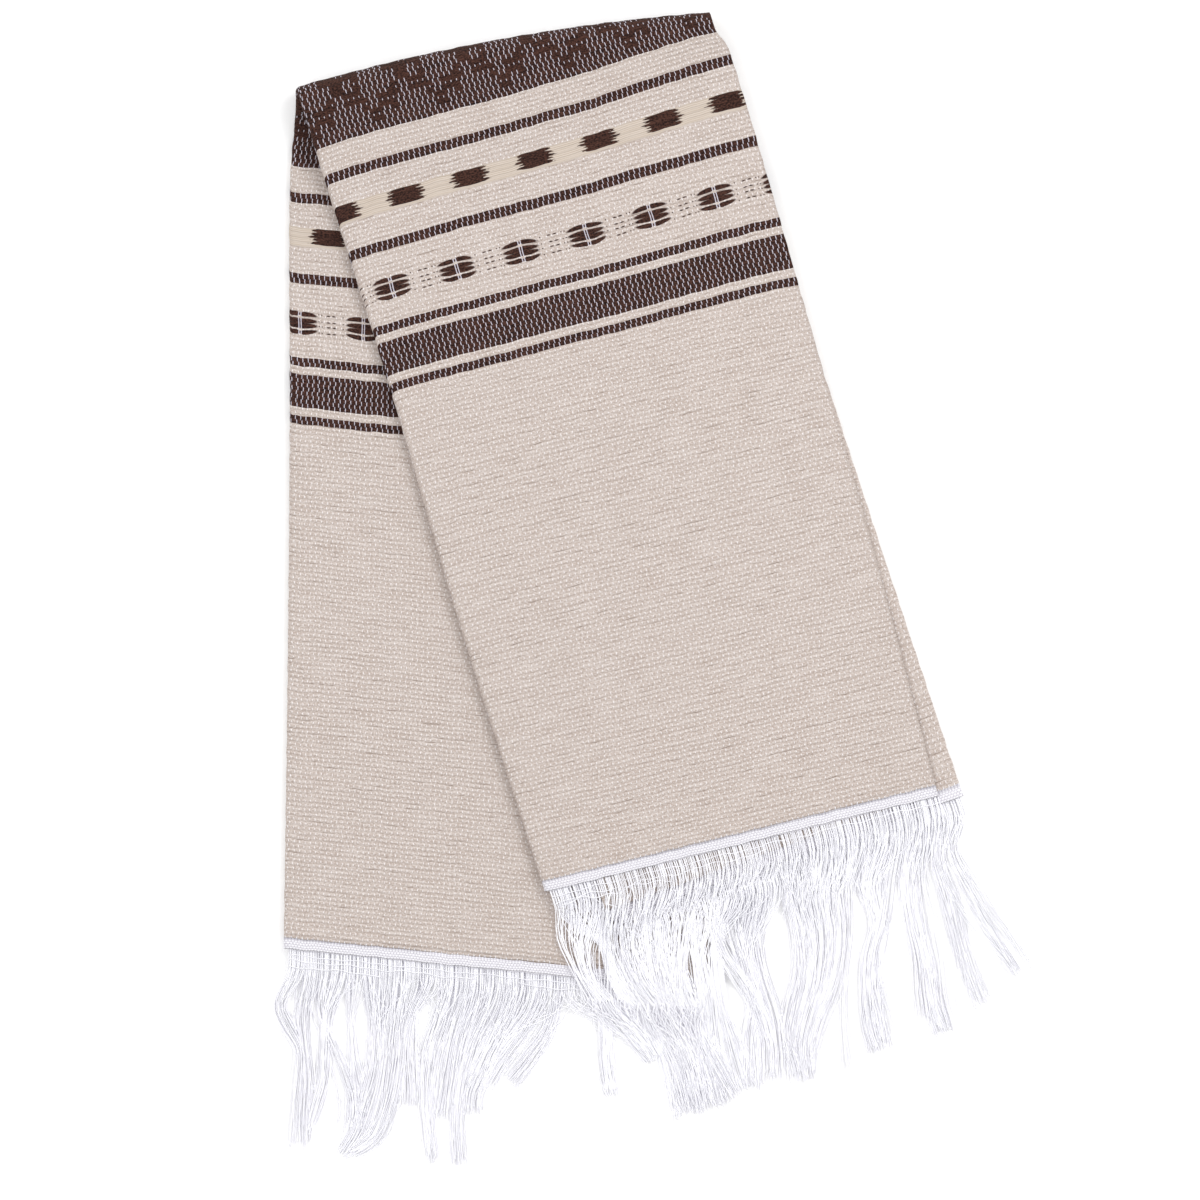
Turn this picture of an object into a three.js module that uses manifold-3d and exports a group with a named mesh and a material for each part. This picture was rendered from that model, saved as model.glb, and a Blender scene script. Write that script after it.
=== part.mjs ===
// A woven cotton tea towel with a fringe at both ends, folded and laid flat.
// It is folded in three along its length, then once across on a slant,
// so that the upper leaf lies turned over the lower one.
// Millimetres, +Z up, resting on z = 0, with the origin under the middle of its box.

import * as THREE from "three";
import Module from "manifold-3d";

const wasm = await Module();
wasm.setup();

// Driving dimensions
const CLOTH_THICKNESS = 1;
const PLY_PITCH = 1.7;
const HALF_LENGTH = 350;
const HEADING_WIDTH = 4;
const PARTING = 0.5;
const LOOP_RADIUS = 4;
const LOOP_BOW = 4.5;
const LOOP_SLANT = 0.15;
const SETTLE_LENGTH = 60;
const STEP_DOWN_START = 49;
const STEP_DOWN_LENGTH = 75;
const LOCK_HEIGHT = 1;
const LOCK_ROOT_HEIGHT = 0.7;
const LOCK_FILL = 0.72;
const LOCK_TIP_SHARE = 0.62;
const LOCK_STAGGER = 1.5;
const LOCK_STRAIGHT_SHARE = 0.4;

// How finely the solids are divided
const LEFT_FOLD_STEPS = 6;
const RIGHT_FOLD_STEPS = 4;
const LOWER_LEAF_ROWS = 9;
const LOOP_ROWS = 10;
const SETTLE_ROWS = 5;
const UPPER_LEAF_ROWS = 8;
const LOCK_SEGMENTS = 8;
const LOCK_FINE_SEGMENTS = 64;

// Heights of the middle of each panel above the innermost one, which is the middle panel
const INNER_STACK = PLY_PITCH;
const OUTER_STACK = 2 * PLY_PITCH;
const LEAF_HEIGHT = 3 * PLY_PITCH;
const HALF_THICKNESS = CLOTH_THICKNESS / 2;
const LOOP_CENTRE_Z = HALF_THICKNESS + OUTER_STACK + LOOP_RADIUS;
const LOOP_OUTER_RADIUS = LOOP_RADIUS + OUTER_STACK;
const LOOP_HALF_ARC = (Math.PI / 2) * (LOOP_RADIUS + INNER_STACK);

// Where the four long lines of the folded towel run, seen from above.
// along is the distance from the slanted fold, minus on the lower leaf.
const LINES = [
  {
    along: -350, leftFold: [-130.8, -144.1], outerSelvedge: [43.1, -122.1],
    rightFold: [44.7, -161.5], innerSelvedge: [-105.2, -112.2],
  },
  {
    along: -240, leftFold: [-129.2, -29.0], outerSelvedge: [43.9, -5.0],
    rightFold: [45.5, -25.7], innerSelvedge: [-103.5, -9.1],
  },
  {
    along: -134, leftFold: [-128.3, 81.1], outerSelvedge: [43.9, 108.5],
    rightFold: [46.0, 103.5], innerSelvedge: [-101.4, 87.8],
  },
  {
    along: -45, leftFold: [-128.3, 169.7], outerSelvedge: [43.1, 199.5],
    rightFold: [46.0, 198.3], innerSelvedge: [-100.6, 175.5],
  },
  {
    along: 0, leftFold: [-125.9, 211.6], outerSelvedge: [44.7, 242.6],
    rightFold: [44.7, 242.6], innerSelvedge: [-98.5, 216.5],
  },
  {
    along: 45, leftFold: [-113.8, 173.5], outerSelvedge: [54.6, 222.7],
    rightFold: [53.8, 221.9], innerSelvedge: [-87.8, 181.3],
  },
  {
    along: 134, leftFold: [-86.9, 87.8], outerSelvedge: [81.6, 131.2],
    rightFold: [81.1, 130.0], innerSelvedge: [-65.0, 88.2],
  },
  {
    along: 240, leftFold: [-57.5, -11.6], outerSelvedge: [110.5, 29.8],
    rightFold: [113.8, 29.0], innerSelvedge: [-31.9, -18.6],
  },
  {
    along: 350, leftFold: [-22.8, -120.5], outerSelvedge: [139.9, -81.1],
    rightFold: [150.3, -81.1], innerSelvedge: [3.7, -132.9],
  },
];
const APEX_ROW = LINES.findIndex((row) => row.along === 0);

// Each panel runs from its left line to its right line.
// stack is its height in the pile, and the insets leave room for the folded edges.
const LEFT_FOLD_RADIUS = OUTER_STACK / 2;
const RIGHT_FOLD_RADIUS = INNER_STACK / 2;
const PANELS = {
  outer: { left: "leftFold", right: "outerSelvedge", stack: OUTER_STACK, segments: 14 },
  middle: { left: "leftFold", right: "rightFold", stack: 0, segments: 14 },
  inner: { left: "innerSelvedge", right: "rightFold", stack: INNER_STACK, segments: 12 },
};
const LINE_INSETS = {
  leftFold: LEFT_FOLD_RADIUS + HALF_THICKNESS,
  rightFold: RIGHT_FOLD_RADIUS + HALF_THICKNESS,
  outerSelvedge: 0,
  innerSelvedge: 0,
};

// Locks of the fringe: one list for each hem, from its left end to its right end.
// across is the place along the hem, and x, y is where the lock's tip lies.
const FRINGE = {
  front: [
    {
      panel: "outer", locks: 20, sway: 3.5,
      tips: [
        { across: 0, x: 26.5, y: -197.9 },
        { across: 0.12, x: 36.4, y: -208.2 },
        { across: 0.25, x: 46.4, y: -211.6 },
        { across: 0.4, x: 58.8, y: -212.0 },
        { across: 0.5, x: 77.8, y: -202.0 },
        { across: 0.62, x: 86.5, y: -198.7 },
        { across: 0.72, x: 104.7, y: -197.1 },
        { across: 0.82, x: 120.1, y: -188.4 },
        { across: 0.9, x: 137.4, y: -178.8 },
        { across: 0.95, x: 159.4, y: -167.7 },
        { across: 1, x: 179.3, y: -156.9 },
      ],
    },
    {
      panel: "inner", locks: 16, sway: 2,
      tips: [
        { across: 0, x: 22.8, y: -203.7 },
        { across: 0.3, x: 51.3, y: -212.0 },
        { across: 0.5, x: 82.8, y: -199.5 },
        { across: 0.7, x: 111.0, y: -193.8 },
        { across: 0.85, x: 144.9, y: -178.0 },
        { across: 1, x: 176.4, y: -159.4 },
      ],
    },
    {
      panel: "middle", locks: 12, sway: 2,
      tips: [
        { across: 0, x: 5.0, y: -208.7 },
        { across: 0.3, x: 42.2, y: -207.0 },
        { across: 0.6, x: 87.8, y: -195.4 },
        { across: 0.8, x: 124.2, y: -185.5 },
        { across: 1, x: 171.8, y: -162.3 },
      ],
    },
  ],
  rear: [
    {
      panel: "middle", locks: 20, sway: -2,
      tips: [
        { across: 0, x: -130.8, y: -229.4 },
        { across: 0.1, x: -123.4, y: -224.4 },
        { across: 0.2, x: -107.2, y: -231.0 },
        { across: 0.33, x: -79.5, y: -212.0 },
        { across: 0.44, x: -71.5, y: -233.1 },
        { across: 0.52, x: -61.5, y: -234.3 },
        { across: 0.6, x: -47.0, y: -213.6 },
        { across: 0.66, x: -34.4, y: -201.2 },
        { across: 0.72, x: 0.0, y: -205.3 },
        { across: 0.85, x: 18.6, y: -207.0 },
        { across: 1, x: 41.4, y: -205.3 },
      ],
    },
    {
      panel: "inner", locks: 10, sway: -1,
      tips: [
        { across: 0, x: -105.6, y: -207.0 },
        { across: 0.5, x: -53.8, y: -215.3 },
        { across: 1, x: 37.3, y: -207.0 },
      ],
    },
    {
      panel: "outer", locks: 12, sway: -1,
      tips: [
        { across: 0, x: -126.7, y: -226.0 },
        { across: 0.5, x: -60.0, y: -219.4 },
        { across: 1, x: 33.9, y: -205.3 },
      ],
    },
  ],
};

// The slanted fold's line on the ground plan
const apexLeft = new THREE.Vector2(...LINES[APEX_ROW].leftFold);
const apexRight = new THREE.Vector2(...LINES[APEX_ROW].outerSelvedge);
const foldWidth = apexLeft.distanceTo(apexRight);
const alongFold = apexRight.clone().sub(apexLeft).normalize();
const outOfFold = new THREE.Vector2(-alongFold.y, alongFold.x);

function smoothStep(value) {
  const t = THREE.MathUtils.clamp(value, 0, 1);
  return t * t * (3 - 2 * t);
}

// A column is one thread line of the towel, at a share of its panel's width.
// A folded edge gives its columns a stack height between two panels and a bulge outwards.
function panelColumn(name, share) {
  return { panel: PANELS[name], share, stack: PANELS[name].stack, bulge: 0 };
}

function foldColumn(name, share, angle, radius, side) {
  const stack = radius * (1 - Math.cos(angle));
  return { panel: PANELS[name], share, stack, bulge: side * radius * Math.sin(angle) };
}

// The towel's whole width as columns: outer panel, left fold, middle panel, right fold, inner panel
function clothColumns() {
  const columns = [];
  const { outer, middle, inner } = PANELS;
  for (let i = 0; i <= outer.segments; i += 1) {
    columns.push(panelColumn("outer", 1 - i / outer.segments));
  }
  for (let i = 1; i < LEFT_FOLD_STEPS; i += 1) {
    const angle = Math.PI * (1 - i / LEFT_FOLD_STEPS);
    columns.push(foldColumn("middle", 0, angle, LEFT_FOLD_RADIUS, -1));
  }
  for (let i = 0; i <= middle.segments; i += 1) {
    columns.push(panelColumn("middle", i / middle.segments));
  }
  for (let i = 1; i < RIGHT_FOLD_STEPS; i += 1) {
    const angle = (Math.PI * i) / RIGHT_FOLD_STEPS;
    columns.push(foldColumn("middle", 1, angle, RIGHT_FOLD_RADIUS, 1));
  }
  for (let i = 0; i <= inner.segments; i += 1) {
    columns.push(panelColumn("inner", 1 - i / inner.segments));
  }
  return columns;
}

// Where a column crosses one row of the table, seen from above
function rowPoint(row, column) {
  const left = new THREE.Vector2(...row[column.panel.left]);
  const right = new THREE.Vector2(...row[column.panel.right]);
  const across = right.clone().sub(left).normalize();
  left.addScaledVector(across, LINE_INSETS[column.panel.left]);
  right.addScaledVector(across, -LINE_INSETS[column.panel.right]);
  return left.lerp(right, column.share).addScaledVector(across, column.bulge);
}

// Ground plan and height of a column inside the rounded slanted fold
function loopPoint(column, along) {
  const angle = (along / LOOP_HALF_ARC) * (Math.PI / 2);
  const radius = LOOP_RADIUS + column.stack;
  const apex = rowPoint(LINES[APEX_ROW], column);
  const share = THREE.MathUtils.clamp(apex.clone().sub(apexLeft).dot(alongFold) / foldWidth, 0, 1);
  const outward = LOOP_BOW * 4 * share * (1 - share) - LOOP_OUTER_RADIUS - HALF_THICKNESS;
  const plan = apex
    .addScaledVector(outOfFold, outward + radius * Math.cos(angle))
    .addScaledVector(alongFold, LOOP_SLANT * along);
  return new THREE.Vector3(plan.x, plan.y, LOOP_CENTRE_Z + radius * Math.sin(angle));
}

// A column's ground plan as a smooth curve through its crossings with the rows
function columnPath(column) {
  const inLoop = [-1, -0.6, 0.6, 1].map((share) => share * LOOP_HALF_ARC);
  const knots = LINES.filter((row) => row.along !== 0).map((row) => ({
    along: row.along,
    point: rowPoint(row, column),
  }));
  for (const along of inLoop) {
    const { x, y } = loopPoint(column, along);
    knots.push({ along, point: new THREE.Vector2(x, y) });
  }
  return knots.sort((a, b) => a.along - b.along);
}

// Slope of the curve at a knot, from its two neighbours
function knotSlope(knots, index) {
  const before = knots[Math.max(index - 1, 0)];
  const after = knots[Math.min(index + 1, knots.length - 1)];
  return after.point.clone().sub(before.point).divideScalar(after.along - before.along);
}

function pathPoint(knots, along) {
  let index = 0;
  while (index < knots.length - 2 && along > knots[index + 1].along) {
    index += 1;
  }
  const start = knots[index];
  const end = knots[index + 1];
  const span = end.along - start.along;
  const t = (along - start.along) / span;
  const startSlope = knotSlope(knots, index).multiplyScalar(span);
  const endSlope = knotSlope(knots, index + 1).multiplyScalar(span);
  return start.point.clone()
    .multiplyScalar(2 * t ** 3 - 3 * t ** 2 + 1)
    .addScaledVector(startSlope, t ** 3 - 2 * t ** 2 + t)
    .addScaledVector(end.point, 3 * t ** 2 - 2 * t ** 3)
    .addScaledVector(endSlope, t ** 3 - t ** 2);
}

// Height of what the upper leaf lies on: the lower leaf and its fringe, or the table beyond them
function supportHeight(x) {
  return LEAF_HEIGHT * (1 - smoothStep((x - STEP_DOWN_START) / STEP_DOWN_LENGTH));
}

function layerHeight(along, stack, x) {
  if (along < 0) {
    return HALF_THICKNESS + OUTER_STACK - stack;
  }
  const settled = 1 - smoothStep((along - LOOP_HALF_ARC) / SETTLE_LENGTH);
  const lift = (2 * LOOP_RADIUS - PLY_PITCH) * settled;
  return supportHeight(x) + HALF_THICKNESS + stack + lift;
}

// A point on the middle of the cloth
function clothPoint(column, along) {
  if (Math.abs(along) < LOOP_HALF_ARC) {
    return loopPoint(column, along);
  }
  const plan = pathPoint(columnPath(column), along);
  return new THREE.Vector3(plan.x, plan.y, layerHeight(along, column.stack, plan.x));
}

// A closed sheet of even thickness on the columns, over a stretch of the towel's length
function sheetGeometry(threads, alongs) {
  const rows = alongs.length;
  const columns = threads.length;
  const grid = alongs.map((along) => threads.map((thread) => clothPoint(thread, along)));
  const positions = [];
  for (const side of [1, -1]) {
    for (let i = 0; i < rows; i += 1) {
      for (let j = 0; j < columns; j += 1) {
        const lengthwise = clothPoint(threads[j], alongs[i] + 1).sub(clothPoint(threads[j], alongs[i] - 1));
        const after = grid[i][Math.min(j + 1, columns - 1)];
        const before = grid[i][Math.max(j - 1, 0)];
        const normal = lengthwise.cross(after.clone().sub(before)).normalize();
        const point = grid[i][j].clone().addScaledVector(normal, side * HALF_THICKNESS);
        positions.push(point.x, point.y, point.z);
      }
    }
  }
  const front = (i, j) => i * columns + j;
  const back = (i, j) => rows * columns + i * columns + j;
  const index = [];
  const quad = (a, b, c, d) => index.push(a, b, c, a, c, d);
  for (let i = 0; i < rows - 1; i += 1) {
    for (let j = 0; j < columns - 1; j += 1) {
      quad(front(i, j), front(i + 1, j), front(i + 1, j + 1), front(i, j + 1));
      quad(back(i, j), back(i, j + 1), back(i + 1, j + 1), back(i + 1, j));
    }
    quad(front(i, 0), back(i, 0), back(i + 1, 0), front(i + 1, 0));
    const last = columns - 1;
    quad(front(i, last), front(i + 1, last), back(i + 1, last), back(i, last));
  }
  for (let j = 0; j < columns - 1; j += 1) {
    quad(front(0, j), front(0, j + 1), back(0, j + 1), back(0, j));
    const last = rows - 1;
    quad(front(last, j), back(last, j), back(last, j + 1), front(last, j + 1));
  }
  return closedGeometry(positions, index);
}

function closedGeometry(positions, index) {
  const geometry = new THREE.BufferGeometry();
  geometry.setAttribute("position", new THREE.Float32BufferAttribute(positions, 3));
  geometry.setIndex(index);
  return geometry;
}

function toManifold(geometry) {
  return new wasm.Manifold(new wasm.Mesh({
    numProp: 3,
    vertProperties: Float32Array.from(geometry.getAttribute("position").array),
    triVerts: Uint32Array.from(geometry.getIndex().array),
  }));
}

function fromManifold(solid) {
  const mesh = solid.getMesh();
  return closedGeometry(Array.from(mesh.vertProperties), Array.from(mesh.triVerts));
}

function evenSteps(start, end, count) {
  return Array.from({ length: count + 1 }, (_, i) => start + ((end - start) * i) / count);
}

function clothGeometry() {
  const reach = HALF_LENGTH - HEADING_WIDTH - PARTING;
  const alongs = [
    ...evenSteps(-reach, -LOOP_HALF_ARC, LOWER_LEAF_ROWS),
    ...evenSteps(-LOOP_HALF_ARC, LOOP_HALF_ARC, LOOP_ROWS).slice(1),
    ...evenSteps(LOOP_HALF_ARC, LOOP_HALF_ARC + SETTLE_LENGTH, SETTLE_ROWS).slice(1),
    ...evenSteps(LOOP_HALF_ARC + SETTLE_LENGTH, reach, UPPER_LEAF_ROWS).slice(1),
  ];
  return sheetGeometry(clothColumns(), alongs);
}

function headingGeometry(end) {
  const inner = end * (HALF_LENGTH - HEADING_WIDTH);
  const alongs = [Math.min(inner, end * HALF_LENGTH), Math.max(inner, end * HALF_LENGTH)];
  return sheetGeometry(clothColumns(), alongs);
}

// The tip of a lock, between the rows of its hem's list
function tipPoint(tips, across) {
  let index = 0;
  while (index < tips.length - 2 && across > tips[index + 1].across) {
    index += 1;
  }
  const start = tips[index];
  const end = tips[index + 1];
  const t = (across - start.across) / (end.across - start.across);
  return new THREE.Vector2(start.x, start.y).lerp(new THREE.Vector2(end.x, end.y), t);
}

// The middle line of a lock, seen from above, from inside the heading to its tip
function lockPath(hem, end, index) {
  const across = (index + 0.5) / hem.locks;
  const column = panelColumn(hem.panel, across);
  const root = clothPoint(column, end * (HALF_LENGTH - HEADING_WIDTH / 2));
  const edge = clothPoint(column, end * HALF_LENGTH);
  const start = new THREE.Vector2(root.x, root.y);
  const outward = new THREE.Vector2(edge.x, edge.y).sub(start).normalize();
  const tip = tipPoint(hem.tips, across);
  tip.addScaledVector(outward, index % 2 === 0 ? LOCK_STAGGER : -LOCK_STAGGER);
  const straight = tip.distanceTo(start) * LOCK_STRAIGHT_SHARE;
  const bend = start.clone().addScaledVector(outward, straight);
  const sideways = new THREE.Vector2(-outward.y, outward.x).multiplyScalar(hem.sway);
  const late = bend.clone().lerp(tip, 0.5).add(sideways);
  return new THREE.CubicBezierCurve(start, bend, late, tip);
}

// One lock as a flat tapering bar with four sides, its underside level with its layer.
// Its root is thinner than the heading, so that it comes out of the middle of the heading's edge.
function lockGeometry(points, halfWidths, centreHeight) {
  const positions = [];
  const index = [];
  const last = points.length - 1;
  points.forEach((point, k) => {
    const before = points[Math.max(k - 1, 0)];
    const after = points[Math.min(k + 1, last)];
    const forward = after.clone().sub(before).normalize();
    const side = new THREE.Vector2(-forward.y, forward.x).multiplyScalar(halfWidths[k]);
    const left = point.clone().add(side);
    const right = point.clone().sub(side);
    const leftHeight = centreHeight(left.x);
    const rightHeight = centreHeight(right.x);
    const halfHeight = (k === 0 ? LOCK_ROOT_HEIGHT : LOCK_HEIGHT) / 2;
    positions.push(left.x, left.y, leftHeight - halfHeight);
    positions.push(left.x, left.y, leftHeight + halfHeight);
    positions.push(right.x, right.y, rightHeight + halfHeight);
    positions.push(right.x, right.y, rightHeight - halfHeight);
  });
  for (let k = 0; k < last; k += 1) {
    for (let corner = 0; corner < 4; corner += 1) {
      const next = (corner + 1) % 4;
      const a = 4 * k + corner;
      const b = 4 * k + next;
      index.push(a, b, b + 4, a, b + 4, a + 4);
    }
  }
  index.push(0, 2, 1, 0, 3, 2);
  const tip = 4 * last;
  index.push(tip, tip + 1, tip + 2, tip, tip + 2, tip + 3);
  return closedGeometry(positions, index);
}

// A lock is as wide as the room that the locks beside it leave, less towards its tip
function hemLocks(hem, end) {
  const paths = Array.from({ length: hem.locks }, (_, i) => lockPath(hem, end, i));
  const finePaths = paths.map((path) => path.getPoints(LOCK_FINE_SEGMENTS));
  const { stack } = PANELS[hem.panel];
  const centreHeight = (x) => layerHeight(end * HALF_LENGTH, stack, x);
  return paths.map((path, i) => {
    const beside = [finePaths[i - 1], finePaths[i + 1]].filter(Boolean).flat();
    const points = path.getPoints(LOCK_SEGMENTS);
    const halfWidths = points.map((point, k) => {
      const room = Math.min(...beside.map((other) => other.distanceTo(point)));
      const taper = 1 - (1 - LOCK_TIP_SHARE) * (k / LOCK_SEGMENTS) ** 2;
      return (room / 2) * LOCK_FILL * taper;
    });
    return lockGeometry(points, halfWidths, centreHeight);
  });
}

function fringeGeometry(name, end) {
  let solid = toManifold(headingGeometry(end));
  for (const hem of FRINGE[name]) {
    for (const lock of hemLocks(hem, end)) {
      solid = solid.add(toManifold(lock));
    }
  }
  return fromManifold(solid);
}

const clothMaterial = new THREE.MeshStandardMaterial({ color: 0xd8cdc4, roughness: 0.9, metalness: 0 });
const yarnMaterial = new THREE.MeshStandardMaterial({ color: 0xedeaf0, roughness: 0.85, metalness: 0 });

function namedMesh(name, geometry, material) {
  const mesh = new THREE.Mesh(geometry, material);
  mesh.name = name;
  return mesh;
}

const towel = new THREE.Group();
towel.add(
  namedMesh("towel-cloth", clothGeometry(), clothMaterial),
  namedMesh("front-heading-fringe", fringeGeometry("front", 1), yarnMaterial),
  namedMesh("rear-heading-fringe", fringeGeometry("rear", -1), yarnMaterial),
);

// The origin goes under the middle of the whole box
const box = new THREE.Box3().setFromObject(towel, true);
const middle = box.getCenter(new THREE.Vector3());
towel.position.set(-middle.x, -middle.y, -box.min.z);

export default towel;
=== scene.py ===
# %% [markdown]
# # A folded tea towel
# The real towel is a length of hand-loomed cotton, 50 cm by 70 cm, with white warp threads
# and an oatmeal weft. Brown weft makes its bands and motifs, and the warp ends hang out
# at both hems as a fringe. It is folded in three along its length, then once across.
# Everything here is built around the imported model, whose bodies and sizes stay as they are.

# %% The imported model
import math

import bpy
import numpy as np
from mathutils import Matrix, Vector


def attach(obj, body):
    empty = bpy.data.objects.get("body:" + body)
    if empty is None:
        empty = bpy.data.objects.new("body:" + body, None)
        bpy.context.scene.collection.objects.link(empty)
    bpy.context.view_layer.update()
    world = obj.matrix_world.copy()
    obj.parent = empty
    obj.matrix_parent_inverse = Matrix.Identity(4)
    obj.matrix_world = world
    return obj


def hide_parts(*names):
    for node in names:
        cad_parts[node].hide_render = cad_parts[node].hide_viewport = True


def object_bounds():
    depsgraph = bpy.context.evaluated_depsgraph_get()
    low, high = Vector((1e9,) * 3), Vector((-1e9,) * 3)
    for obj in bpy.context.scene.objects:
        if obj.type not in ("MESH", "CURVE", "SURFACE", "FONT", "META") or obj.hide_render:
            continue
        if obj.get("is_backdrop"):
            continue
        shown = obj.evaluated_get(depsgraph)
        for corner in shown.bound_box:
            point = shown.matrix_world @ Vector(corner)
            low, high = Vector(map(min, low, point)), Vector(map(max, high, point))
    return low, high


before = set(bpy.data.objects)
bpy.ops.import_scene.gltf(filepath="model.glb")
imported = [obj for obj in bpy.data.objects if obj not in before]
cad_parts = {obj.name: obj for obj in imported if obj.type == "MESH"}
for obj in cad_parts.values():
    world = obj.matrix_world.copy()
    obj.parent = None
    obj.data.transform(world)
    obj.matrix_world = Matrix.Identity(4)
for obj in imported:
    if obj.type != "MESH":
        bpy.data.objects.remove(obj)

MM = 0.001
cad_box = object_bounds()

# %% [markdown]
# ## Where the folds run
# The towel is flat cloth, so its shape is set by four long lines: the fold on its left, the
# free edge of the outer panel, the hidden fold on its right and the free edge of the inner
# panel. A row of the table says where they lie at one distance from the slanted crosswise
# fold. Every thread line in between follows from its share of a panel's width.
# This is better than a cloth simulation here, because the folds are already known.

# %% Sizes of the towel in millimetres
CLOTH_WIDTH = 500
HALF_LENGTH = 350
HEADING_WIDTH = 4
CLOTH_THICKNESS = 1
PLY_PITCH = 1.7
LOOP_RADIUS = 4
LOOP_BOW = 4.5
LOOP_SLANT = 0.15
SETTLE_LENGTH = 60
STEP_DOWN_START = 49
STEP_DOWN_LENGTH = 75
PLAN_SHIFT = np.array([-21.32, -3.77])

HALF_THICKNESS = CLOTH_THICKNESS / 2
INNER_STACK = PLY_PITCH
OUTER_STACK = 2 * PLY_PITCH
LEAF_HEIGHT = 3 * PLY_PITCH
LOOP_CENTRE = HALF_THICKNESS + OUTER_STACK + LOOP_RADIUS
LOOP_HALF_ARC = math.pi / 2 * (LOOP_RADIUS + INNER_STACK)
LEFT_FOLD_RADIUS = OUTER_STACK / 2
RIGHT_FOLD_RADIUS = INNER_STACK / 2

# Columns: distance from the crosswise fold, then x, y of the left fold, the outer free edge,
# the right fold and the inner free edge, then the thread that lies on the left fold
FOLD_ROWS = [
    (-350, (-130.8, -144.1), (43.1, -122.1), (44.7, -161.5), (-105.2, -112.2), 185),
    (-240, (-129.2, -29.0), (43.9, -5.0), (45.5, -25.7), (-103.5, -9.1), 184),
    (-134, (-128.3, 81.1), (43.9, 108.5), (46.0, 103.5), (-101.4, 87.8), 183),
    (-45, (-128.3, 169.7), (43.1, 199.5), (46.0, 198.3), (-100.6, 175.5), 181),
    (0, (-125.9, 211.6), (44.7, 242.6), (44.7, 242.6), (-98.5, 216.5), 177),
    (45, (-113.8, 173.5), (54.6, 222.7), (53.8, 221.9), (-87.8, 181.3), 175),
    (134, (-86.9, 87.8), (81.6, 131.2), (81.1, 130.0), (-65.0, 88.2), 172),
    (240, (-57.5, -11.6), (110.5, 29.8), (113.8, 29.0), (-31.9, -18.6), 169),
    (350, (-22.8, -120.5), (139.9, -81.1), (150.3, -81.1), (3.7, -132.9), 167),
]
LEFT, OUTER_EDGE, RIGHT, INNER_EDGE = 1, 2, 3, 4
ALONGS = np.array([row[0] for row in FOLD_ROWS], float)
APEX_ROW = next(row for row in FOLD_ROWS if row[0] == 0)

# A panel runs from one line to another, at its own height in the pile
PANELS = {
    "outer": (LEFT, OUTER_EDGE, OUTER_STACK),
    "middle": (LEFT, RIGHT, 0),
    "inner": (INNER_EDGE, RIGHT, INNER_STACK),
}
INSETS = {
    LEFT: LEFT_FOLD_RADIUS + HALF_THICKNESS,
    RIGHT: RIGHT_FOLD_RADIUS + HALF_THICKNESS,
    OUTER_EDGE: 0,
    INNER_EDGE: 0,
}
print("leaf height", LEAF_HEIGHT, "mm, half arc of the crosswise fold", round(LOOP_HALF_ARC, 2), "mm")


# %% Soft steps and smooth curves
def smooth_step(value):
    """From 0 to 1 with a soft start and end."""
    t = np.clip(value, 0, 1)
    return t * t * (3 - 2 * t)


def curve_through(points, slope, at, where):
    """A smooth curve through points at the distances in at, read at other distances."""
    i = np.clip(np.searchsorted(at, where) - 1, 0, len(at) - 2)
    span = (at[i + 1] - at[i])[:, None]
    t = (where - at[i])[:, None] / span
    curve = points[i] * (2 * t**3 - 3 * t**2 + 1) + slope[i] * span * (t**3 - 2 * t**2 + t)
    return curve + points[i + 1] * (3 * t**2 - 2 * t**3) + slope[i + 1] * span * (t**3 - t**2)


# %% The line of the crosswise fold
fold_left = np.array(APEX_ROW[LEFT])
fold_right = np.array(APEX_ROW[OUTER_EDGE])
fold_width = np.linalg.norm(fold_right - fold_left)
along_fold = (fold_right - fold_left) / fold_width
out_of_fold = np.array([-along_fold[1], along_fold[0]])
print("the crosswise fold is", round(float(fold_width), 1), "mm wide")


# %% Points in the rounded crosswise fold
def row_point(row, panel, share, bulge):
    """Plan of one thread line where it crosses a row of the table."""
    left_line, right_line, _ = PANELS[panel]
    left, right = np.array(row[left_line]), np.array(row[right_line])
    across = (right - left) / np.linalg.norm(right - left)
    left = left + across * INSETS[left_line]
    right = right - across * INSETS[right_line]
    return left + (right - left) * share + across * bulge


def loop_points(panel, share, stack, bulge, along):
    """Points of a thread line in the rounded crosswise fold."""
    angle = along / LOOP_HALF_ARC * math.pi / 2
    radius = LOOP_RADIUS + stack
    apex = row_point(APEX_ROW, panel, share, bulge)
    place = np.clip((apex - fold_left) @ along_fold / fold_width, 0, 1)
    outward = LOOP_BOW * 4 * place * (1 - place) - LOOP_RADIUS - OUTER_STACK - HALF_THICKNESS
    out = (outward + radius * np.cos(angle))[:, None] * out_of_fold
    plan = apex + out + (LOOP_SLANT * along)[:, None] * along_fold
    return np.column_stack([plan, LOOP_CENTRE + radius * np.sin(angle)])


# %% How high each ply lies
def support_height(x):
    """Height of what the upper leaf lies on: the lower leaf, then the table beyond it."""
    return LEAF_HEIGHT * (1 - smooth_step((x - STEP_DOWN_START) / STEP_DOWN_LENGTH))


def layer_height(along, stack, x):
    """Height of a ply's middle: the lower leaf is turned over, the upper one lies on it."""
    lift = (2 * LOOP_RADIUS - PLY_PITCH) * (1 - smooth_step((along - LOOP_HALF_ARC) / SETTLE_LENGTH))
    upper = support_height(x) + HALF_THICKNESS + stack + lift
    return np.where(along < 0, HALF_THICKNESS + OUTER_STACK - stack, upper)


print("the upper leaf reaches the table at x", STEP_DOWN_START + STEP_DOWN_LENGTH, "mm")


# %% A whole thread line
# Where a thread line passes the crosswise fold, as shares of the fold's half arc
LOOP_KNOTS = np.array([-1, -0.6, 0.6, 1])


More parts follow.
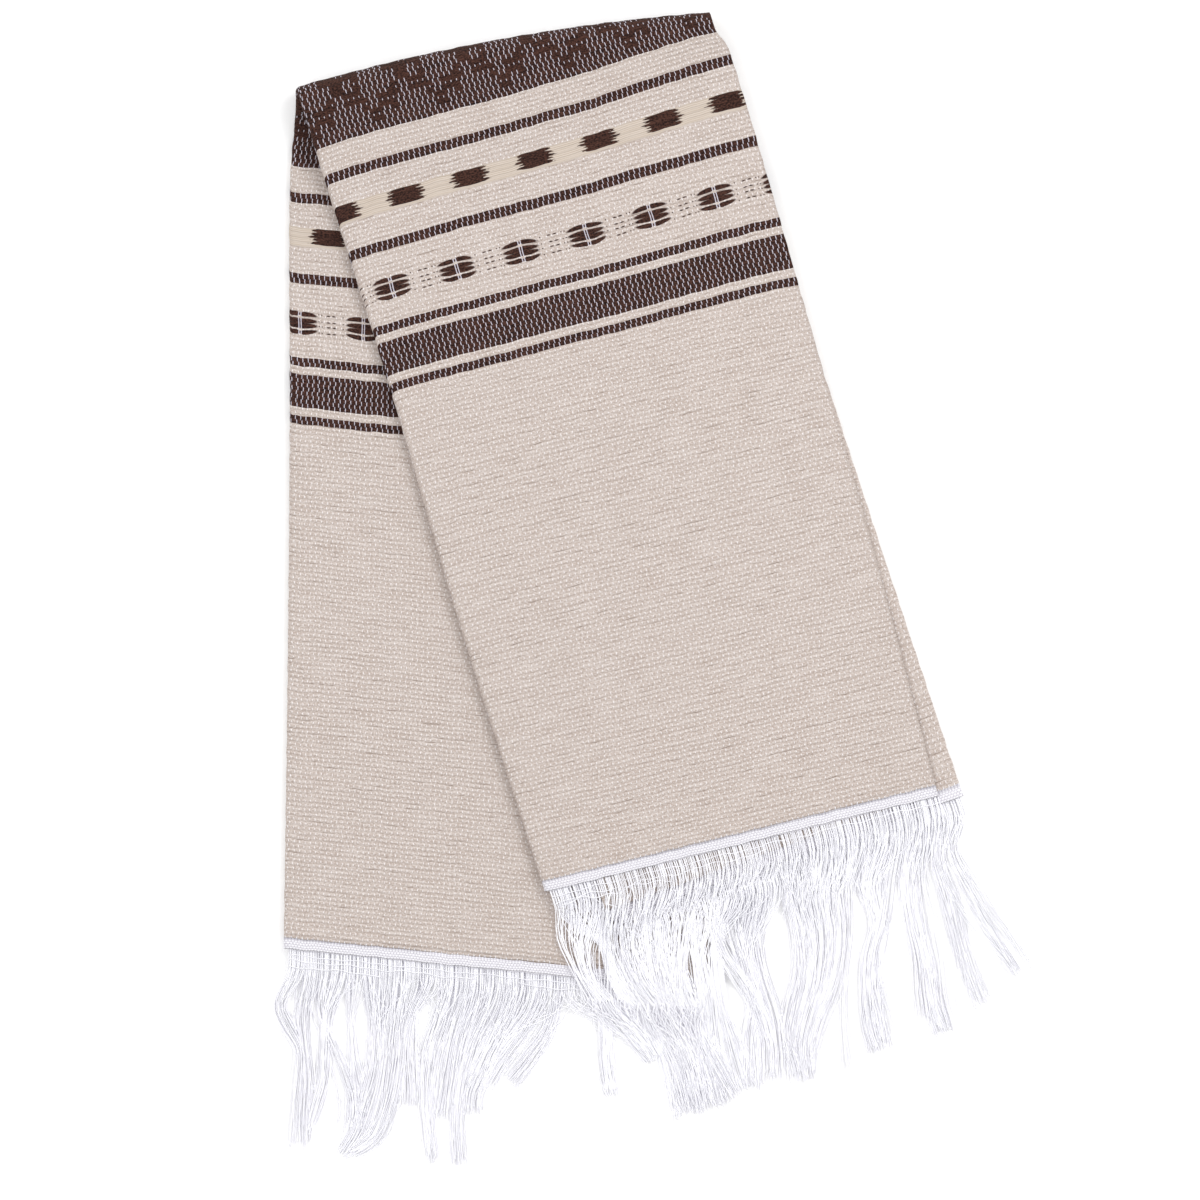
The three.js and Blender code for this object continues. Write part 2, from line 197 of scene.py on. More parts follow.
def thread_line(panel, share, stack, bulge, along):
    """Points of the middle of the cloth on one thread line, for an array of distances."""
    ends = LOOP_KNOTS * LOOP_HALF_ARC
    knots = [(row[0], row_point(row, panel, share, bulge)) for row in FOLD_ROWS if row[0] != 0]
    knots += list(zip(ends, loop_points(panel, share, stack, bulge, ends)[:, :2]))
    knots.sort(key=lambda knot: knot[0])
    at = np.array([knot[0] for knot in knots])
    plan = np.array([knot[1] for knot in knots])
    after = np.minimum(np.arange(len(at)) + 1, len(at) - 1)
    before = np.maximum(np.arange(len(at)) - 1, 0)
    slope = (plan[after] - plan[before]) / (at[after] - at[before])[:, None]
    curve = curve_through(plan, slope, at, along)
    points = np.column_stack([curve, layer_height(along, stack, curve[:, 0])])
    inside = np.abs(along) < LOOP_HALF_ARC
    points[inside] = loop_points(panel, share, stack, bulge, along[inside])
    return points


hem_corner = thread_line("outer", 0, OUTER_STACK, 0, np.array([HALF_LENGTH]))[0]
print("the upper leaf's left corner lies at", hem_corner.round(1), "mm")

# %% [markdown]
# ## Thread counts
# The pattern belongs to the threads, so each point of the cloth carries two numbers: how far
# across the loom it lies, from the outer free edge, and how far along the warp, from the
# towel's middle. They go into a UV map, and the weave is then drawn in real millimetres
# and bends with the folds. The middle of the towel isn't exactly on the crosswise fold,
# and the cloth is drawn a little askew there, which the two small tables give.

# %% Thread coordinates
MIDDLE_OFFSET = {LEFT: 1.5, OUTER_EDGE: 19.8, RIGHT: 61.5, INNER_EDGE: -15.0}

# Columns: distance from the towel's middle, extra length at mid-panel, extra length at the free edge
THREAD_SHIFTS = np.array([
    (-350, 0, 0), (-135, 0, 0), (0, 4.5, 0), (45, 4.5, 0),
    (79, 2.8, 0.8), (111, 2.3, 1.8), (135, 2.0, 2.3), (350, 0, 0),
], float)
# Columns: distance from the towel's middle, extra length of the lower leaf
LOWER_SHIFTS = np.array([
    (-350, 0), (-135, 1.3), (-111, 1.4), (-79, 2.9), (-9, 2.9), (9, 0), (350, 0),
], float)
BOW_FLATNESS = 1.6


def threads_along(panel, share, points, along):
    """Distance along the warp from the towel's middle, for the points of one thread line."""
    steps = np.linalg.norm(np.diff(points, axis=0), axis=1)
    length = np.concatenate([[0], np.cumsum(steps)])
    length -= np.interp(0, along, length)
    left_line, right_line, _ = PANELS[panel]
    offset = MIDDLE_OFFSET[left_line] * (1 - share) + MIDDLE_OFFSET[right_line] * share
    end = (HALF_LENGTH - offset) / length[-1]
    start = (HALF_LENGTH + offset) / -length[0]
    warp = offset + length * np.where(length > 0, end, start)
    bow = (4 * share * (1 - share)) ** BOW_FLATNESS if panel == "outer" else 0
    warp -= np.interp(warp, THREAD_SHIFTS[:, 0], THREAD_SHIFTS[:, 1]) * bow
    edge = share if panel == "outer" else 0
    warp -= np.interp(warp, THREAD_SHIFTS[:, 0], THREAD_SHIFTS[:, 2]) * edge
    return warp - np.interp(warp, LOWER_SHIFTS[:, 0], LOWER_SHIFTS[:, 1])


def threads_across(panel, share, angle_share, along):
    """Distance across the loom from the outer free edge, for one thread line."""
    fold = np.interp(along, ALONGS, [row[5] for row in FOLD_ROWS])
    left_arc = math.pi * LEFT_FOLD_RADIUS
    right_arc = math.pi * RIGHT_FOLD_RADIUS
    first = fold + left_arc / 2
    middle = [np.linalg.norm(np.subtract(row[RIGHT], row[LEFT])) for row in FOLD_ROWS]
    second = first + np.interp(along, ALONGS, middle)
    if panel == "outer":
        return (1 - share) * (fold - left_arc / 2)
    if panel == "inner":
        return second + right_arc + (1 - share) * (CLOTH_WIDTH - second - right_arc)
    if share == 0:
        return first - left_arc * angle_share
    if share == 1:
        return second + right_arc * angle_share
    return first + share * (second - first)


print("thread on the left fold at the front hem:", threads_across("middle", 0, 0.5, HALF_LENGTH), "mm")

# %% The towel's whole width as thread lines
OUTER_COLUMNS = 64
LEFT_FOLD_COLUMNS = 10
MIDDLE_COLUMNS = 52
RIGHT_FOLD_COLUMNS = 6
INNER_COLUMNS = 34


def all_thread_lines():
    """Panel, share of its width, height in the pile, bulge and share of a fold's turn."""
    lines = [("outer", 1 - i / OUTER_COLUMNS, OUTER_STACK, 0, 0) for i in range(OUTER_COLUMNS + 1)]
    for i in range(1, LEFT_FOLD_COLUMNS):
        turn = math.pi * (1 - i / LEFT_FOLD_COLUMNS)
        height = LEFT_FOLD_RADIUS * (1 - math.cos(turn))
        lines.append(("middle", 0, height, -LEFT_FOLD_RADIUS * math.sin(turn), turn / math.pi))
    lines += [("middle", i / MIDDLE_COLUMNS, 0, 0, 0) for i in range(MIDDLE_COLUMNS + 1)]
    for i in range(1, RIGHT_FOLD_COLUMNS):
        turn = math.pi * i / RIGHT_FOLD_COLUMNS
        height = RIGHT_FOLD_RADIUS * (1 - math.cos(turn))
        lines.append(("middle", 1, height, RIGHT_FOLD_RADIUS * math.sin(turn), turn / math.pi))
    lines += [("inner", 1 - i / INNER_COLUMNS, INNER_STACK, 0, 0) for i in range(INNER_COLUMNS + 1)]
    return lines


thread_lines = all_thread_lines()
print(len(thread_lines), "thread lines")

# %% [markdown]
# ## The cloth as a closed sheet
# Cloth has a thickness, and it shows at the folds and free edges. So the sheet has two faces,
# half a thickness each side of the threads' middle, joined by a rim. Soft dents a few
# centimetres long keep it from looking pressed: they are sums of a few sine waves, so they
# come out the same on every run.

# %% Soft unevenness of laid cloth
# Columns: height in mm, wavelength along x and y in mm, phase
DENTS = [
    (0.30, 96, -210, 0.4), (0.24, -61, 133, 2.1), (0.16, 38, 84, 4.0),
    (0.10, 27, -43, 1.2), (0.07, -19, 31, 5.1),
]
# Uneven edges, in mm
EDGE_WAVE = 0.2
EDGE_WAVELENGTHS = (8.6, 11.9)


def dented(points):
    """Moves points up a little, never below the table, and the edges slightly in and out."""
    moved = points.copy()
    x, y = points[..., 0], points[..., 1]
    for height, wave_x, wave_y, phase in DENTS:
        moved[..., 2] += height * (1 + np.sin(2 * math.pi * (x / wave_x + y / wave_y) + phase)) / 2
    for wavelength in EDGE_WAVELENGTHS:
        moved[..., 0] += EDGE_WAVE * np.sin(2 * math.pi * y / wavelength) / 2
        moved[..., 1] += EDGE_WAVE * np.sin(2 * math.pi * x / wavelength) / 2
    return moved


print("dents add up to", round(sum(dent[0] for dent in DENTS), 2), "mm at most")

# %% A stretch of the towel as a closed sheet
LENGTH_SAMPLES = 561
reach = np.linspace(-HALF_LENGTH, HALF_LENGTH, LENGTH_SAMPLES)


def sheet_mesh(name, along, half_thickness):
    """A closed sheet over a stretch of the towel's length, with the threads as its UV map."""
    middle = np.stack([thread_line(*line[:4], along) for line in thread_lines], axis=1)
    middle = dented(middle)
    count = len(thread_lines)
    rows = len(along)
    normal = np.cross(np.gradient(middle, axis=0), np.gradient(middle, axis=1))
    normal /= np.linalg.norm(normal, axis=2, keepdims=True)
    sides = np.stack([middle + normal * half_thickness, middle - normal * half_thickness])
    sides[..., :2] += PLAN_SHIFT
    sides[..., 2] = np.maximum(sides[..., 2], 0)
    i, j = np.meshgrid(np.arange(rows - 1), np.arange(count - 1), indexing="ij")
    corner = (i * count + j).ravel()
    top = np.column_stack([corner, corner + count, corner + count + 1, corner + 1])
    under = top[:, ::-1] + rows * count
    first_row, last_row = np.arange(count), (rows - 1) * count + np.arange(count)
    first_line, last_line = np.arange(rows) * count, np.arange(rows) * count + count - 1
    rims = []
    for edge in (first_row, last_row[::-1], first_line[::-1], last_line):
        a, b = edge[:-1], edge[1:]
        rims.append(np.column_stack([a, b, b + rows * count, a + rows * count]))
    faces = np.concatenate([top, under, *rims])
    mesh = bpy.data.meshes.new(name)
    mesh.from_pydata((sides.reshape(-1, 3) * MM).tolist(), [], faces.tolist())
    warp = np.stack([
        threads_along(line[0], line[1], thread_line(*line[:4], reach), reach) for line in thread_lines
    ], axis=1)
    warp_here = np.stack([np.interp(along, reach, warp[:, k]) for k in range(count)], axis=1)
    weft = np.stack([threads_across(line[0], line[1], line[4], along) for line in thread_lines], axis=1)
    places = np.stack([weft / CLOTH_WIDTH, warp_here / (2 * HALF_LENGTH) + 0.5], axis=-1)
    places = np.concatenate([places.reshape(-1, 2)] * 2)
    threads = mesh.uv_layers.new(name="threads")
    corners = np.empty(len(mesh.loops), np.int32)
    mesh.loops.foreach_get("vertex_index", corners)
    threads.data.foreach_set("uv", places[corners].ravel())
    mesh.polygons.foreach_set("use_smooth", np.arange(len(mesh.polygons)) < 2 * len(top))
    piece = bpy.data.objects.new(name, mesh)
    bpy.context.scene.collection.objects.link(piece)
    print(name, len(mesh.polygons), "faces")
    return piece


# %% The cloth, a little way into its headings
LOWER_ROWS, LOOP_ROWS, UPPER_ROWS = 110, 22, 118
HEADING_OVERLAP = 0.4
cloth_reach = HALF_LENGTH - HEADING_WIDTH + HEADING_OVERLAP
cloth_rows = np.concatenate([
    np.linspace(-cloth_reach, -LOOP_HALF_ARC, LOWER_ROWS, endpoint=False),
    np.linspace(-LOOP_HALF_ARC, LOOP_HALF_ARC, LOOP_ROWS, endpoint=False),
    np.linspace(LOOP_HALF_ARC, cloth_reach, UPPER_ROWS),
])
cloth = sheet_mesh("folded-cloth", cloth_rows, HALF_THICKNESS)

# %% [markdown]
# ## Floor, light and camera
# The towel lies on a plain white table under big soft lights, and the camera looks straight
# down from far off, as in a catalogue picture. The camera stands over the middle of the
# photograph's frame, and one photograph width is 497 mm of table.

# %% Colours and nodes
def linear(hex_colour):
    """An sRGB hex colour as linear light."""
    channels = [int(hex_colour[i:i + 2], 16) / 255 for i in (1, 3, 5)]
    return [c / 12.92 if c <= 0.04045 else ((c + 0.055) / 1.055) ** 2.4 for c in channels] + [1]


def add_node(tree, kind, inputs=(), **settings):
    """Adds one node, sets it up, and links or fills its inputs by number or name."""
    made = tree.nodes.new(kind)
    for name, value in settings.items():
        setattr(made, name, value)
    places = inputs.items() if isinstance(inputs, dict) else enumerate(inputs)
    for place, value in places:
        if isinstance(value, bpy.types.NodeSocket):
            tree.links.new(value, made.inputs[place])
        elif value is not None:
            made.inputs[place].default_value = value
    return made


def new_material(name):
    """An empty node material and its tree."""
    material = bpy.data.materials.new(name)
    material.use_nodes = True
    material.node_tree.nodes.clear()
    return material, material.node_tree


print("middle grey as linear light:", round(linear("#808080")[0], 3))

# %% White table
# Matt white paint: an even ground with no shine. Its faint glow keeps it pure white right up to
# the cloth, as on a catalogue picture, where the ground is cut out.
# Its tone drifts by a trace over patches of 12 cm, which are a fortieth of the table.
PATCHES_ALONG_TABLE = 40
TABLE_GLOW = 0.07
table_paint, tree = new_material("white painted table")
speckle = add_node(tree, "ShaderNodeTexNoise", {"Scale": PATCHES_ALONG_TABLE, "Detail": 2.0})
tone = add_node(
    tree, "ShaderNodeMix", {0: speckle.outputs["Fac"], 6: linear("#f6f6f6"), 7: linear("#f8f8f8")},
    data_type="RGBA",
)
paint = add_node(
    tree, "ShaderNodeBsdfPrincipled",
    {
        "Base Color": tone.outputs[2], "Roughness": 0.8,
        "Emission Color": linear("#ffffff"), "Emission Strength": TABLE_GLOW,
    },
)
add_node(tree, "ShaderNodeOutputMaterial", {"Surface": paint.outputs[0]})

FLOOR_HALF = 2.5
floor_mesh = bpy.data.meshes.new("table-top")
corners = [(x * FLOOR_HALF, y * FLOOR_HALF, 0) for x, y in ((-1, -1), (1, -1), (1, 1), (-1, 1))]
floor_mesh.from_pydata(corners, [], [(0, 1, 2, 3)])
floor_mesh.materials.append(table_paint)
floor = bpy.data.objects.new("table-top", floor_mesh)
bpy.context.scene.collection.objects.link(floor)
floor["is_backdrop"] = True
print("table", 2 * FLOOR_HALF, "m wide")

# %% Room light and two soft lamps
ROOM_LIGHT = 0.95
world = bpy.data.worlds.new("soft white room")
world.use_nodes = True
world.node_tree.nodes.clear()
room = add_node(
    world.node_tree, "ShaderNodeBackground", {"Color": linear("#ffffff"), "Strength": ROOM_LIGHT},
)
add_node(world.node_tree, "ShaderNodeOutputWorld", {"Surface": room.outputs[0]})
bpy.context.scene.world = world
bpy.context.scene.view_settings.view_transform = "Standard"

# Columns: name, place, size in metres, power in watts
LIGHTS = [("window side", (1.1, 0.9, 1.6), 0.9, 15), ("far side", (-1.4, 0.4, 1.8), 1.2, 8)]
for name, place, size, power in LIGHTS:
    light = bpy.data.lights.new(name, "AREA")
    light.size = size
    light.energy = power
    lamp = bpy.data.objects.new(name, light)
    lamp.location = place
    tilt = math.atan2(math.hypot(place[0], place[1]), place[2])
    lamp.rotation_euler = (0, tilt, math.atan2(place[1], place[0]))
    bpy.context.scene.collection.objects.link(lamp)
print(len(LIGHTS), "lamps")

# %% Camera
FRAME_WIDTH = 496.8
CAMERA_HEIGHT = 3.0
SENSOR_WIDTH = 36
camera_data = bpy.data.cameras.new("overhead")
camera_data.sensor_width = SENSOR_WIDTH
camera_data.lens = SENSOR_WIDTH * CAMERA_HEIGHT / (FRAME_WIDTH * MM)
camera = bpy.data.objects.new("overhead", camera_data)
camera.location = (PLAN_SHIFT[0] * MM, PLAN_SHIFT[1] * MM, CAMERA_HEIGHT)
bpy.context.scene.collection.objects.link(camera)
bpy.context.scene.camera = camera
print("lens", round(camera_data.lens, 1), "mm at", CAMERA_HEIGHT, "m")

# %% [markdown]
# ## The woven cloth
# The cloth is plain weave with a thick soft weft and fine white warp threads in pairs. Where
# the weft is brown, each warp thread that passes over it shows as a short white dash, first
# on one side of the pair and then on the other. In the oatmeal ground it shows as a dot.
# All of it is drawn from the thread coordinates in millimetres, so that a table row is a
# stripe on the real loom. An image could carry it too, but it would blur close up.
# The arithmetic is a list of steps, each with its result's name, its operation and its
# inputs. One loop makes a node of each, which is easier to read than a page of links.

# %% The weaver's notes
# Pitches, places and widths of warp pairs, threads and rows, in millimetres
PAIR_PITCH = 2.283
FIRST_PAIR = 1.505
THREAD_OFFSET = 0.29
THREAD_HALF_WIDTH = 0.18
PLAIN_ROW = 1.87
HEADING_ROW = 1.0
HEADING_PITCH = 1.3
REPEAT_PAIRS = 12
REPEAT = REPEAT_PAIRS * PAIR_PITCH
FLOAT_LINE_PITCH = 0.75
# How many times a dot of the heading fits across its pitch, and across its row
HEADING_DOT_FITS = (3.2, 2.8)
HEADING_EDGE = 0.6
# How far threads wander from their straight line, and how ragged the edges of bands and dye are
WANDER = 1.6
BOW = 1.8
RAGGED = 0.5
FRAY = 5.0
# Half lengths of a dot and of a dash, in rows, and the start of the painted shade between rows
DOT_HALF_LENGTH = 0.27
DASH_HALF_LENGTH = 0.57
GAP_START = 0.39
DARKEST_GAP = 0.95

# Columns: name, where its rows are counted from, pitch of its rows, start and end, all in
# millimetres from the towel's middle
BANDS = [
    ("centre", 32.5, -1.77, -1, 32.5),
    ("stripe one", 43.3, 2.0, 43.3, 47.3),
    ("stripe two", 76.3, 2.0, 76.3, 80.3),
    ("stripe three", 109.3, 1.7, 109.3, 112.7),
    ("wide", 115.95, 1.7, 115.95, 129.55),
    ("stripe four", 133.0, 1.7, 133.0, 136.4),
]
FLOAT_BAND = (57.3, 65.2)

# The centre band's repeat of 12 pairs: D is a dash, d a dot, and a full stop bare brown.
# It reads from the band's edge to the towel's middle.
CENTRE_CHART = [
    "DDDDDDDDDDDD", "DDDDDDDDDDDD", "D..DDDDDDDDD", "DddDDdDDDDDD", "D..DD.DDDDDD",
    ".DD...DDDDDD", "dDDdddDDDDDD", ".DD....DD...", "DDDDD.dDDddd", "DDDDDD.DD...",
    "DDDDDDD..DD.", "DDDDDDD..DDd", "DDDDDDD..DD.", "DDDDD.......", "DDDDD.......",
    "DDDDD...DD..", "DDDDD.......", "DDDDD.......", "DDDDD.......",
]
CHART_FIRST_PAIR = 149.9

# Dyed patches in the float band, as bundles of threads.
# Columns: place towards the hem, half height, half length
PATCH_CENTRE = (7.1, 60.8)
PATCH_BUNDLES = [
    (0, 3.1, 6.2), (-2.6, 0.8, 7.3), (-1.25, 0.7, 7.9), (0, 0.65, 9.0), (1.2, 0.5, 7.3), (2.5, 0.85, 7.7),
]

# Clusters of four brown threads. Columns: place towards the hem, half height, bow, pinch at the middle
CLUSTER_CENTRE = (22.6, 95.7)
CLUSTER_HALF_LENGTH = 7.6
CLUSTER_ROWS = [(-3.6, 1.0, 0.8, 0.7), (-0.95, 1.1, 0.1, 0.2), (0.95, 1.1, -0.1, 0.2), (3.5, 1.0, -0.8, 0.7)]
PINCH_REACH = 1.5
SPLIT_THREADS = 0.5
SPLIT_HALF_WIDTH = 0.24
TICK_HALF_HEIGHT = 0.34
# Brown ticks between clusters. Columns: place across, half length
TICKS = [(-1.4, 1.1), (1.0, 1.0), (-5.5, 0.3), (-4.2, 0.3), (4.9, 0.3)]


print(len(BANDS), "bands,", len(CENTRE_CHART), "rows in the centre chart")


# %% Steps that come back
def share_squared(result, source, centre, half_size):
    """Distance from a centre as a share of a half size, squared."""
    return [
        (result, "SUBTRACT", source, centre),
        (result, "DIVIDE", result, half_size),
        (result, "MULTIPLY", result, result),
    ]


def kept_between(result, lowest, highest):
    """A value held between two limits."""
    return [(result, "MAXIMUM", result, lowest), (result, "MINIMUM", result, highest)]


def from_nearest(result, centre):
    """Distance across the loom from the nearest repeat of a centre."""
    return [(result, "SUBTRACT", "u", centre), (result, "WRAP", result, REPEAT / 2, -REPEAT / 2)]


print("a repeat is", round(REPEAT, 1), "mm wide")

# %% Thread coordinates in the shader
woven, tree = new_material("hand-loomed cotton")
threads = add_node(tree, "ShaderNodeUVMap", uv_map="threads")
places = add_node(tree, "ShaderNodeSeparateXYZ", [threads.outputs[0]])
flat = add_node(
    tree, "ShaderNodeVectorMath", {0: threads.outputs[0], 1: (CLOTH_WIDTH, 2 * HALF_LENGTH, 0)},
    operation="MULTIPLY",
).outputs[0]
values = {"across share": places.outputs[0], "along share": places.outputs[1]}
for name in ("brown", "dashes here", "dots here", "patch", "cluster"):
    values[name] = 0.0

# Columns: name, size of its grains across and along the towel in millimetres, detail
UNEVENNESS = [
    ("wander", 60, 45, 2), ("bow", 45, 60, 2), ("thread grain", 3.1, 1.3, 2), ("slub", 14, 1.7, 2),
    ("frayed dye", 1.6, 0.45, 1), ("fibre", 0.9, 0.6, 1), ("open weave", 9, 1.9, 2),
]
for name, across, along, detail in UNEVENNESS:
    place = add_node(
        tree, "ShaderNodeVectorMath", {0: flat, 1: (1 / across, 1 / along, 0)}, operation="MULTIPLY",
    )
    grains = add_node(
        tree, "ShaderNodeTexNoise",
        {"Vector": place.outputs[0], "Scale": 1.0, "Detail": detail, "Roughness": 0.6},
    )
    values[name] = grains.outputs["Fac"]
print(list(values))

# %% Where a point lies: u and v in millimetres, x from the middle of its warp pair
steps = [
    ("across", "MULTIPLY", "across share", CLOTH_WIDTH),
    ("wander", "SUBTRACT", "wander", 0.5),
    ("u", "MULTIPLY_ADD", "wander", WANDER, "across"),
    ("from middle", "SUBTRACT", "along share", 0.5),
    ("along", "MULTIPLY", "from middle", 2 * HALF_LENGTH),
    ("bow", "SUBTRACT", "bow", 0.5),
    ("bowed", "MULTIPLY_ADD", "bow", BOW, "along"),
    ("v", "ABSOLUTE", "bowed"),
    ("pair", "MULTIPLY_ADD", "u", 1 / PAIR_PITCH, 0.5 - FIRST_PAIR / PAIR_PITCH),
    ("pair share", "FRACT", "pair"),
    ("pair share", "SUBTRACT", "pair share", 0.5),
    ("x", "MULTIPLY", "pair share", PAIR_PITCH),
]
print(len(steps), "steps")

# %% Rows of weft, and where they are brown
steps += [
    ("row", "MULTIPLY", "v", 1 / PLAIN_ROW),
    ("row edge", "MULTIPLY_ADD", "thread grain", RAGGED, -RAGGED / 2),
    ("ragged v", "ADD", "v", "row edge"),
]
for name, origin, pitch, start, end in BANDS:
    steps += [
        (name, "GREATER_THAN", "ragged v", start),
        ("before end", "LESS_THAN", "ragged v", end),
        (name, "MULTIPLY", name, "before end"),
        ("brown", "MAXIMUM", "brown", name),
        # Inside the band its own count of rows takes over from the ground's
        ("band row", "SUBTRACT", "v", origin),
        ("band row", "MULTIPLY", "band row", 1 / pitch),
        ("band row", "SUBTRACT", "band row", "row"),
        ("row", "MULTIPLY_ADD", "band row", name, "row"),
    ]
steps += [
    ("heading row", "SUBTRACT", "v", HALF_LENGTH - HEADING_WIDTH),
    ("in heading", "GREATER_THAN", "heading row", 0),
    ("heading row", "MULTIPLY", "heading row", 1 / HEADING_ROW),
    ("heading row", "SUBTRACT", "heading row", "row"),
    ("row", "MULTIPLY_ADD", "heading row", "in heading", "row"),
    ("row number", "FLOOR", "row"),
    # t is the place in a row, from minus a half to a half
    ("t", "SUBTRACT", "row", "row number"),
    ("t", "SUBTRACT", "t", 0.5),
    ("odd", "FLOORED_MODULO", "row number", 2),
    # The two threads of a pair come over the weft in turn
    ("side", "MULTIPLY_ADD", "odd", 2 * THREAD_OFFSET, -THREAD_OFFSET),
]
print(len(steps), "steps with the rows")

# %% The centre band's chart as two numbers a row
def chart_number(row, mark):
    """The pairs of a chart row that hold a mark, as one whole number in base two."""
    return sum(2 ** place for place, sign in enumerate(row) if sign == mark)


centre_edge, centre_pitch = BANDS[0][1:3]
steps += [
    ("chart row", "SUBTRACT", centre_edge, "v"),
    ("chart row", "MULTIPLY", "chart row", -1 / centre_pitch),
    ("chart row", "FLOOR", "chart row"),
]
for number, row in enumerate(CENTRE_CHART):
    steps += [
        ("this row", "COMPARE", "chart row", number, 0.5),
        ("dashes here", "MULTIPLY_ADD", "this row", chart_number(row, "D"), "dashes here"),
        ("dots here", "MULTIPLY_ADD", "this row", chart_number(row, "d"), "dots here"),
    ]
steps += [
    ("chart place", "SUBTRACT", CHART_FIRST_PAIR, "u"),
    ("chart place", "MULTIPLY_ADD", "chart place", 1 / PAIR_PITCH, 0.5),
    ("chart place", "FLOOR", "chart place"),
    ("chart place", "FLOORED_MODULO", "chart place", REPEAT_PAIRS),
    ("power", "POWER", 2, "chart place"),
]
for name in ("dashes here", "dots here"):
    steps += [
        # Halving the row's number once for each pair leaves this pair's digit last
        (name, "ADD", name, 0.01),
        (name, "DIVIDE", name, "power"),
        (name, "FLOOR", name),
        (name, "FLOORED_MODULO", name, 2),
    ]
print(len(steps), "steps with the chart")

# %% Dashes in brown bands, dots elsewhere
# A mark ends where its shares across and up the row, raised to these powers, add up to its edge
MARK_EDGE = 1.25
MARK_SQUARENESS = 4
# Fibres of the weft cover part of a mark: gain and shift of their noise
FIBRE_GAIN, FIBRE_SHIFT = 4, -0.6
steps += [
    ("solid", "SUBTRACT", 1, "dashes here"),
    ("solid", "MULTIPLY", "solid", "centre"),
    ("dash", "SUBTRACT", "brown", "solid"),
    ("dash", "MAXIMUM", "dash", 0),
    ("half length", "MULTIPLY_ADD", "dash", DASH_HALF_LENGTH - DOT_HALF_LENGTH, DOT_HALF_LENGTH),
    ("dot in chart", "MULTIPLY", "dots here", "centre"),
    ("bare", "MULTIPLY", "dot in chart", -1),
    ("bare", "ADD", "bare", "solid"),
    ("jitter", "MULTIPLY_ADD", "thread grain", RAGGED, -RAGGED / 2),
    ("from thread", "SUBTRACT", "x", "side"),
    ("from thread", "ADD", "from thread", "jitter"),
    ("from thread", "DIVIDE", "from thread", THREAD_HALF_WIDTH),
    ("from thread", "MULTIPLY", "from thread", "from thread"),
    ("up row", "DIVIDE", "t", "half length"),
    ("up row", "POWER", "up row", MARK_SQUARENESS),
    ("mark", "ADD", "from thread", "up row"),
    ("mark", "SUBTRACT", MARK_EDGE, "mark"),
    ("strength", "MULTIPLY_ADD", "fibre", FIBRE_GAIN, FIBRE_SHIFT),
    ("mark", "MULTIPLY", "mark", "strength"),
    *kept_between("mark", 0, 1),
    ("kept", "SUBTRACT", 1, "bare"),
    ("mark", "MULTIPLY", "mark", "kept"),
]
print(len(steps), "steps with dashes and dots")

# %% The float band and its dyed patches
# The dye ends much as a mark does, and fades just before its edge
PATCH_EDGE = 1.15
PATCH_SQUARENESS = 4
PATCH_FADE = 2.2
steps += [
    ("float", "GREATER_THAN", "ragged v", FLOAT_BAND[0]),
    ("before end", "LESS_THAN", "ragged v", FLOAT_BAND[1]),
    ("float", "MULTIPLY", "float", "before end"),
    *from_nearest("patch u", PATCH_CENTRE[0]),
    ("patch u", "ABSOLUTE", "patch u"),
    ("fray", "MULTIPLY_ADD", "frayed dye", FRAY, -FRAY / 2),
    ("patch u", "ADD", "patch u", "fray"),
    ("patch v", "SUBTRACT", "v", PATCH_CENTRE[1]),
]
for place, half_height, half_length in PATCH_BUNDLES:
    steps += [
        ("long", "DIVIDE", "patch u", half_length),
        ("long", "MAXIMUM", "long", 0),
        ("long", "POWER", "long", PATCH_SQUARENESS),
        *share_squared("tall", "patch v", place, half_height),
        ("bundle", "ADD", "long", "tall"),
        ("bundle", "SUBTRACT", PATCH_EDGE, "bundle"),
        ("bundle", "MULTIPLY", "bundle", PATCH_FADE),
        ("patch", "MAXIMUM", "patch", "bundle"),
    ]
steps += [("patch", "MINIMUM", "patch", 1)]
print(len(PATCH_BUNDLES), "bundles in a patch")

# %% The oval clusters
# A lower power than a mark's gives a cluster its pointed ends
CLUSTER_EDGE = 1.15
CLUSTER_POWER = 2.6
CLUSTER_FADE = 2.5
TICK_EDGE = 1.2
SPLIT_EDGE = 1.2
steps += [
    *from_nearest("cluster u", CLUSTER_CENTRE[0]),
    ("cluster u", "ABSOLUTE", "cluster u"),
    ("long", "DIVIDE", "cluster u", CLUSTER_HALF_LENGTH),
    ("long", "POWER", "long", CLUSTER_POWER),
    ("near middle", "DIVIDE", "cluster u", -PINCH_REACH),
    ("near middle", "ADD", "near middle", 1),
    ("near middle", "MAXIMUM", "near middle", 0),
    ("cluster v", "SUBTRACT", "v", CLUSTER_CENTRE[1]),
    *from_nearest("gap u", CLUSTER_CENTRE[0] - REPEAT / 2),
]
for place, half_height, bow, pinch in CLUSTER_ROWS:
    steps += [
        ("tall", "SUBTRACT", "cluster v", place),
        ("bend", "MULTIPLY", "long", bow),
        *share_squared("bent", "tall", "bend", half_height),
        ("lens", "ADD", "long", "bent"),
        ("lens", "MULTIPLY_ADD", "near middle", pinch, "lens"),
        ("lens", "SUBTRACT", CLUSTER_EDGE, "lens"),
        ("lens", "MULTIPLY", "lens", CLUSTER_FADE),
        ("cluster", "MAXIMUM", "cluster", "lens"),
        ("thin", "DIVIDE", "tall", TICK_HALF_HEIGHT),
        ("thin", "MULTIPLY", "thin", "thin"),
    ]
    for tick, half_length in TICKS:
        steps += [
            *share_squared("short", "gap u", tick, half_length),
            ("tick", "ADD", "short", "thin"),
            ("tick", "SUBTRACT", TICK_EDGE, "tick"),
            ("cluster", "MAXIMUM", "cluster", "tick"),
        ]
